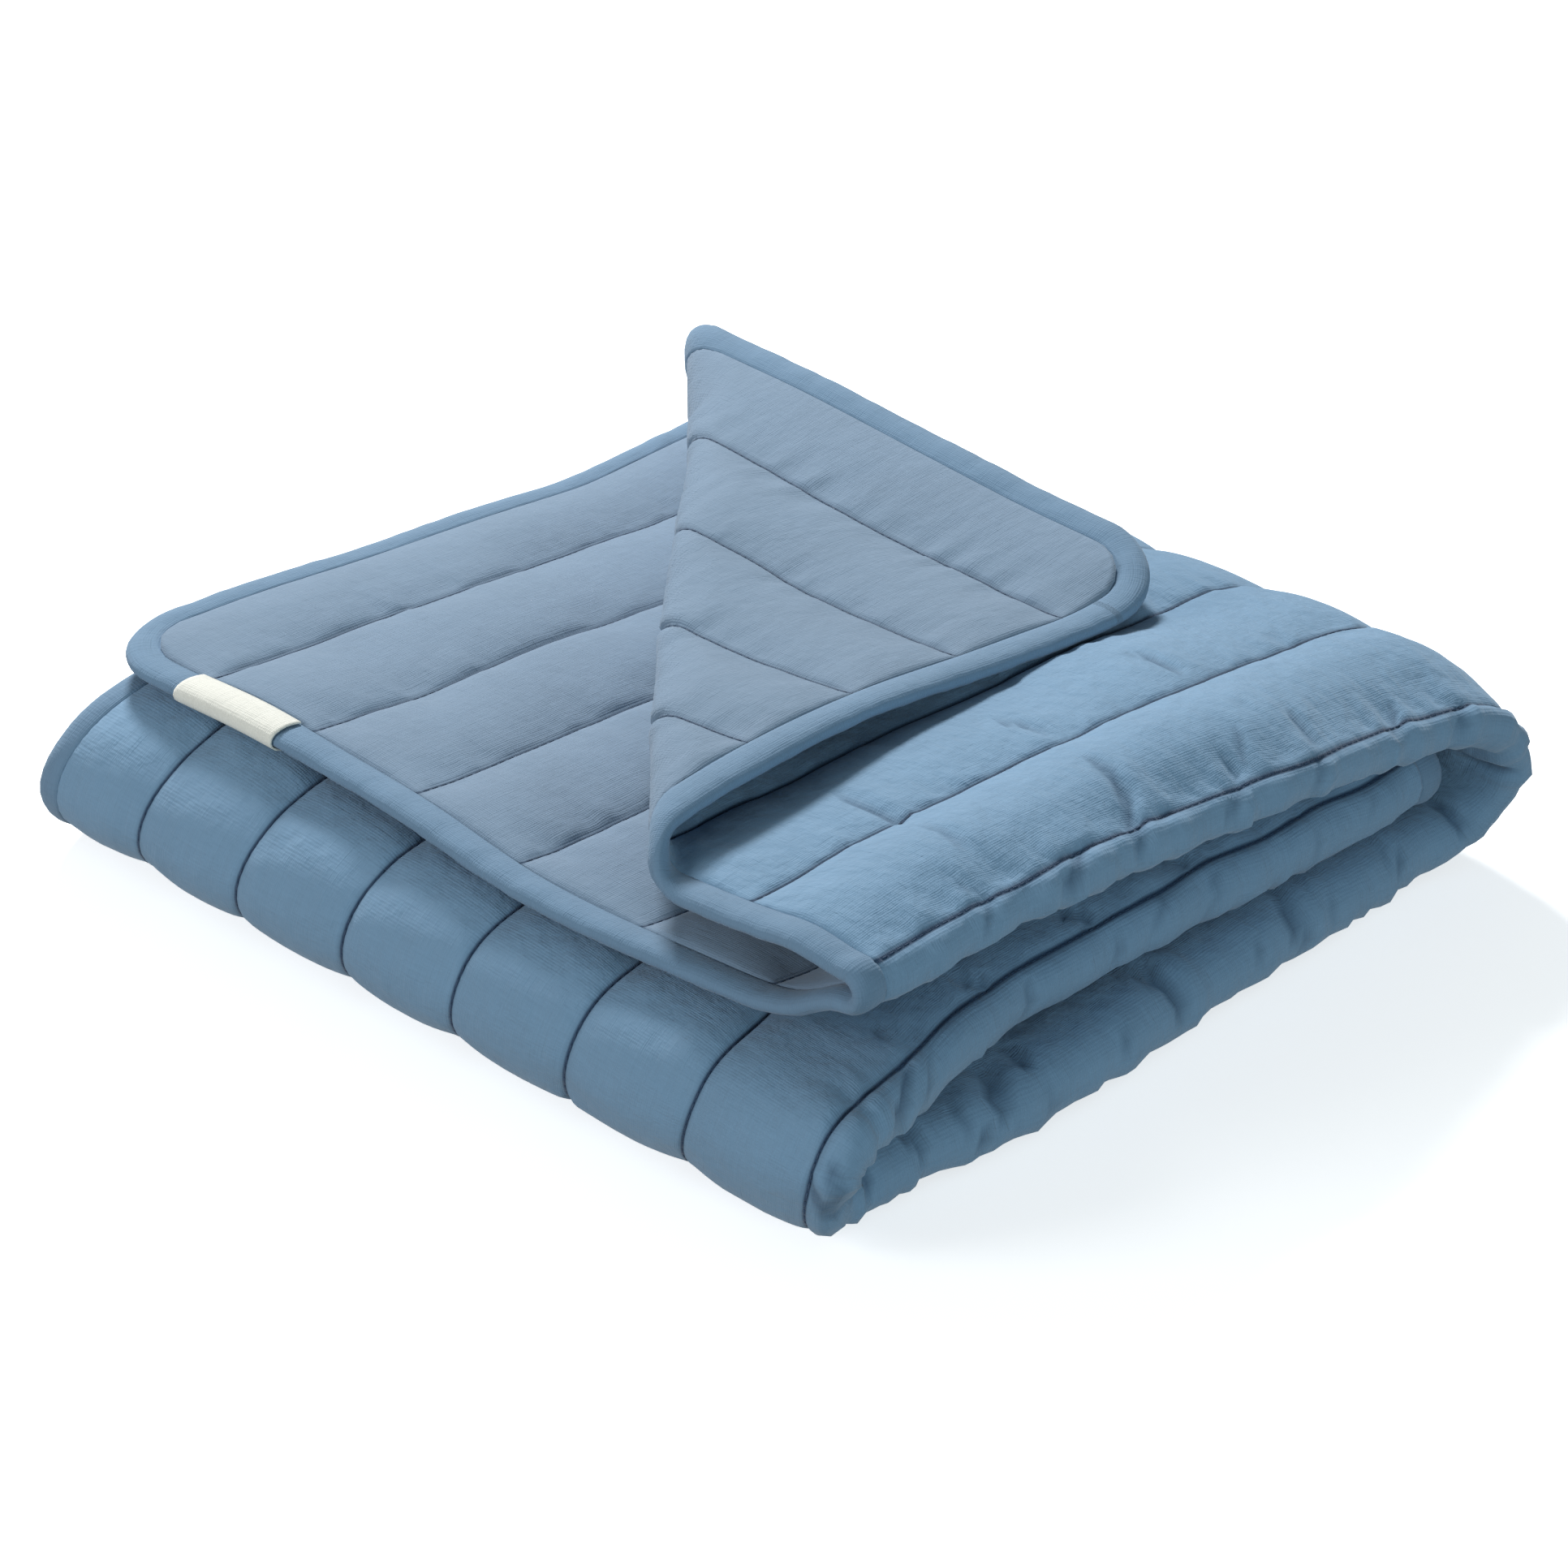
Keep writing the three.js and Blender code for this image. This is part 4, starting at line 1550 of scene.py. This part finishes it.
@dataclass(frozen=True)
class PhotoCamera:
    """The camera that sees the blanket from where the photograph does; only its sight is in metres."""

    placing: Placing
    azimuth: float = 46.76
    elevation: float = 29.82
    focal_pixels: float = 5954.2
    distance: float = 1554.7
    right: float = -7.16
    up: float = 20.10
    sight: float = 50

    def build(self) -> None:
        """Adds the camera and makes it the scene's own."""
        turn, tilt = math.radians(self.azimuth), math.radians(self.elevation)
        right = Vector((math.cos(turn), math.sin(turn), 0))
        back = Vector((math.sin(turn) * math.cos(tilt), -math.cos(turn) * math.cos(tilt), math.sin(tilt)))
        up = back.cross(right)
        spot = back * self.distance + right * self.right + up * self.up + Vector(self.placing.shift)
        data = bpy.data.cameras.new("photo_camera")
        data.sensor_width = SENSOR
        data.lens = self.focal_pixels / PHOTO_PIXELS * SENSOR
        data.clip_end = self.sight
        camera = bpy.data.objects.new("photo_camera", data)
        camera.matrix_world = Matrix((
            (right.x, up.x, back.x, spot.x * MILLIMETRE),
            (right.y, up.y, back.y, spot.y * MILLIMETRE),
            (right.z, up.z, back.z, spot.z * MILLIMETRE),
            (0, 0, 0, 1),
        ))
        bpy.context.scene.collection.objects.link(camera)
        bpy.context.scene.camera = camera


@dataclass(frozen=True)
class SoftLight:
    """One large soft light of the studio, aimed at the blanket, in metres and watts."""

    name: str
    spot: tuple[float, float, float]
    size: float
    power: float
    colour: tuple[float, float, float] = (1, 1, 1)

    def build(self) -> None:
        """Adds the light."""
        data = bpy.data.lights.new(self.name, "AREA")
        data.size = self.size
        data.energy = self.power
        data.color = self.colour
        light = bpy.data.objects.new(self.name, data)
        light.location = self.spot
        light.rotation_euler = (-Vector(self.spot)).to_track_quat("-Z", "Y").to_euler()
        bpy.context.scene.collection.objects.link(light)


@dataclass(frozen=True)
class Studio:
    """The pale floor and the soft light."""

    floor_size: float = 12.0
    floor_colour: tuple[int, int, int] = (250, 250, 250)
    floor_roughness: float = 0.9
    floor_glow: float = 0.62
    surround: float = 0.22
    surround_colour: tuple[float, float, float] = (0.78, 0.92, 1.0)
    lights: tuple[SoftLight, ...] = (
        SoftLight("back_light", (-1.5, 0.9, 1.5), 0.45, 65),
        SoftLight("left_light", (-0.9, -2.2, 0.95), 1.0, 28),
        SoftLight("right_light", (2.3, -0.6, 0.7), 0.6, 18, (0.82, 0.97, 1.0)),
    )

    def build(self) -> None:
        """Adds the floor, the surround and the lights."""
        half = self.floor_size / 2
        mesh = bpy.data.meshes.new("studio_floor")
        corners = [(-half, -half, 0), (half, -half, 0), (half, half, 0), (-half, half, 0)]
        mesh.from_pydata(corners, [], [(0, 1, 2, 3)])
        floor = bpy.data.objects.new("studio_floor", mesh)
        floor.visible_diffuse = False
        bpy.context.scene.collection.objects.link(floor)
        shader = Shader("pale_floor")
        shader.surface.inputs["Base Color"].default_value = linear(self.floor_colour)
        shader.surface.inputs["Roughness"].default_value = self.floor_roughness
        shader.surface.inputs["Emission Color"].default_value = (1, 1, 1, 1)
        shader.surface.inputs["Emission Strength"].default_value = self.floor_glow
        mesh.materials.append(shader.made)
        world = bpy.data.worlds.new("soft_surround")
        world.use_nodes = True
        background = world.node_tree.nodes["Background"]
        background.inputs["Color"].default_value = (*self.surround_colour, 1)
        background.inputs["Strength"].default_value = self.surround
        bpy.context.scene.world = world
        for light in self.lights:
            light.build()
        bpy.context.scene.view_settings.view_transform = "Standard"


# Each cloth's second colour is its dark seam line and the painted shade of seams and creases.
OUTER_CLOTH = ClothFinish(
    "outer_cloth", (119, 151, 178), (26, 52, 80), crinkle=0.8, seam_spacing=50, seam_width=1.7
)
LINING_CLOTH = ClothFinish(
    "lining_cloth", (118, 139, 160), (48, 70, 94), crinkle=0.35, seam_spacing=50, seam_width=1.2
)
BINDING_CLOTH = ClothFinish("binding_cloth", (108, 136, 161), (84, 110, 140), crinkle=0.35)
LABEL_CLOTH = ClothFinish("label_cloth", (226, 224, 214), (200, 198, 188), crinkle=0.2)
SEAM_THREAD = ThreadFinish("seam_thread", (38, 64, 92))


@dataclass
class CribBlanket:
    """The whole blanket: quilt, binding, label and stitches."""

    quilting: Quilting = field(default_factory=Quilting)
    placing: Placing = Placing()
    flat: tuple[float, float] = (0.70, 0.97)

    def build(self) -> None:
        """Builds every piece, and hides the solids of the part that the body, the binding and the label
        are built in place of.
        """
        body = QuiltedBody(self.quilting, self.placing, OUTER_CLOTH, LINING_CLOTH).build()
        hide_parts("quilted_body")
        binding = EdgeBinding(self.quilting, self.placing, BINDING_CLOTH)
        edge = binding.build()
        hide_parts("edge_binding")
        label = LabelTape(binding, self.placing, LABEL_CLOTH).build()
        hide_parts("label_tape")
        stitches = StitchRows(self.quilting, self.placing, SEAM_THREAD).build()


def main() -> None:
    """Loads the part, sets the camera and the studio, and builds the blanket over its solids."""
    logging.basicConfig(level=logging.INFO, format="%(message)s")
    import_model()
    PhotoCamera(Placing()).build()
    Studio().build()
    CribBlanket().build()
    bpy.context.view_layer.update()


if __name__ == "__main__":
    main()
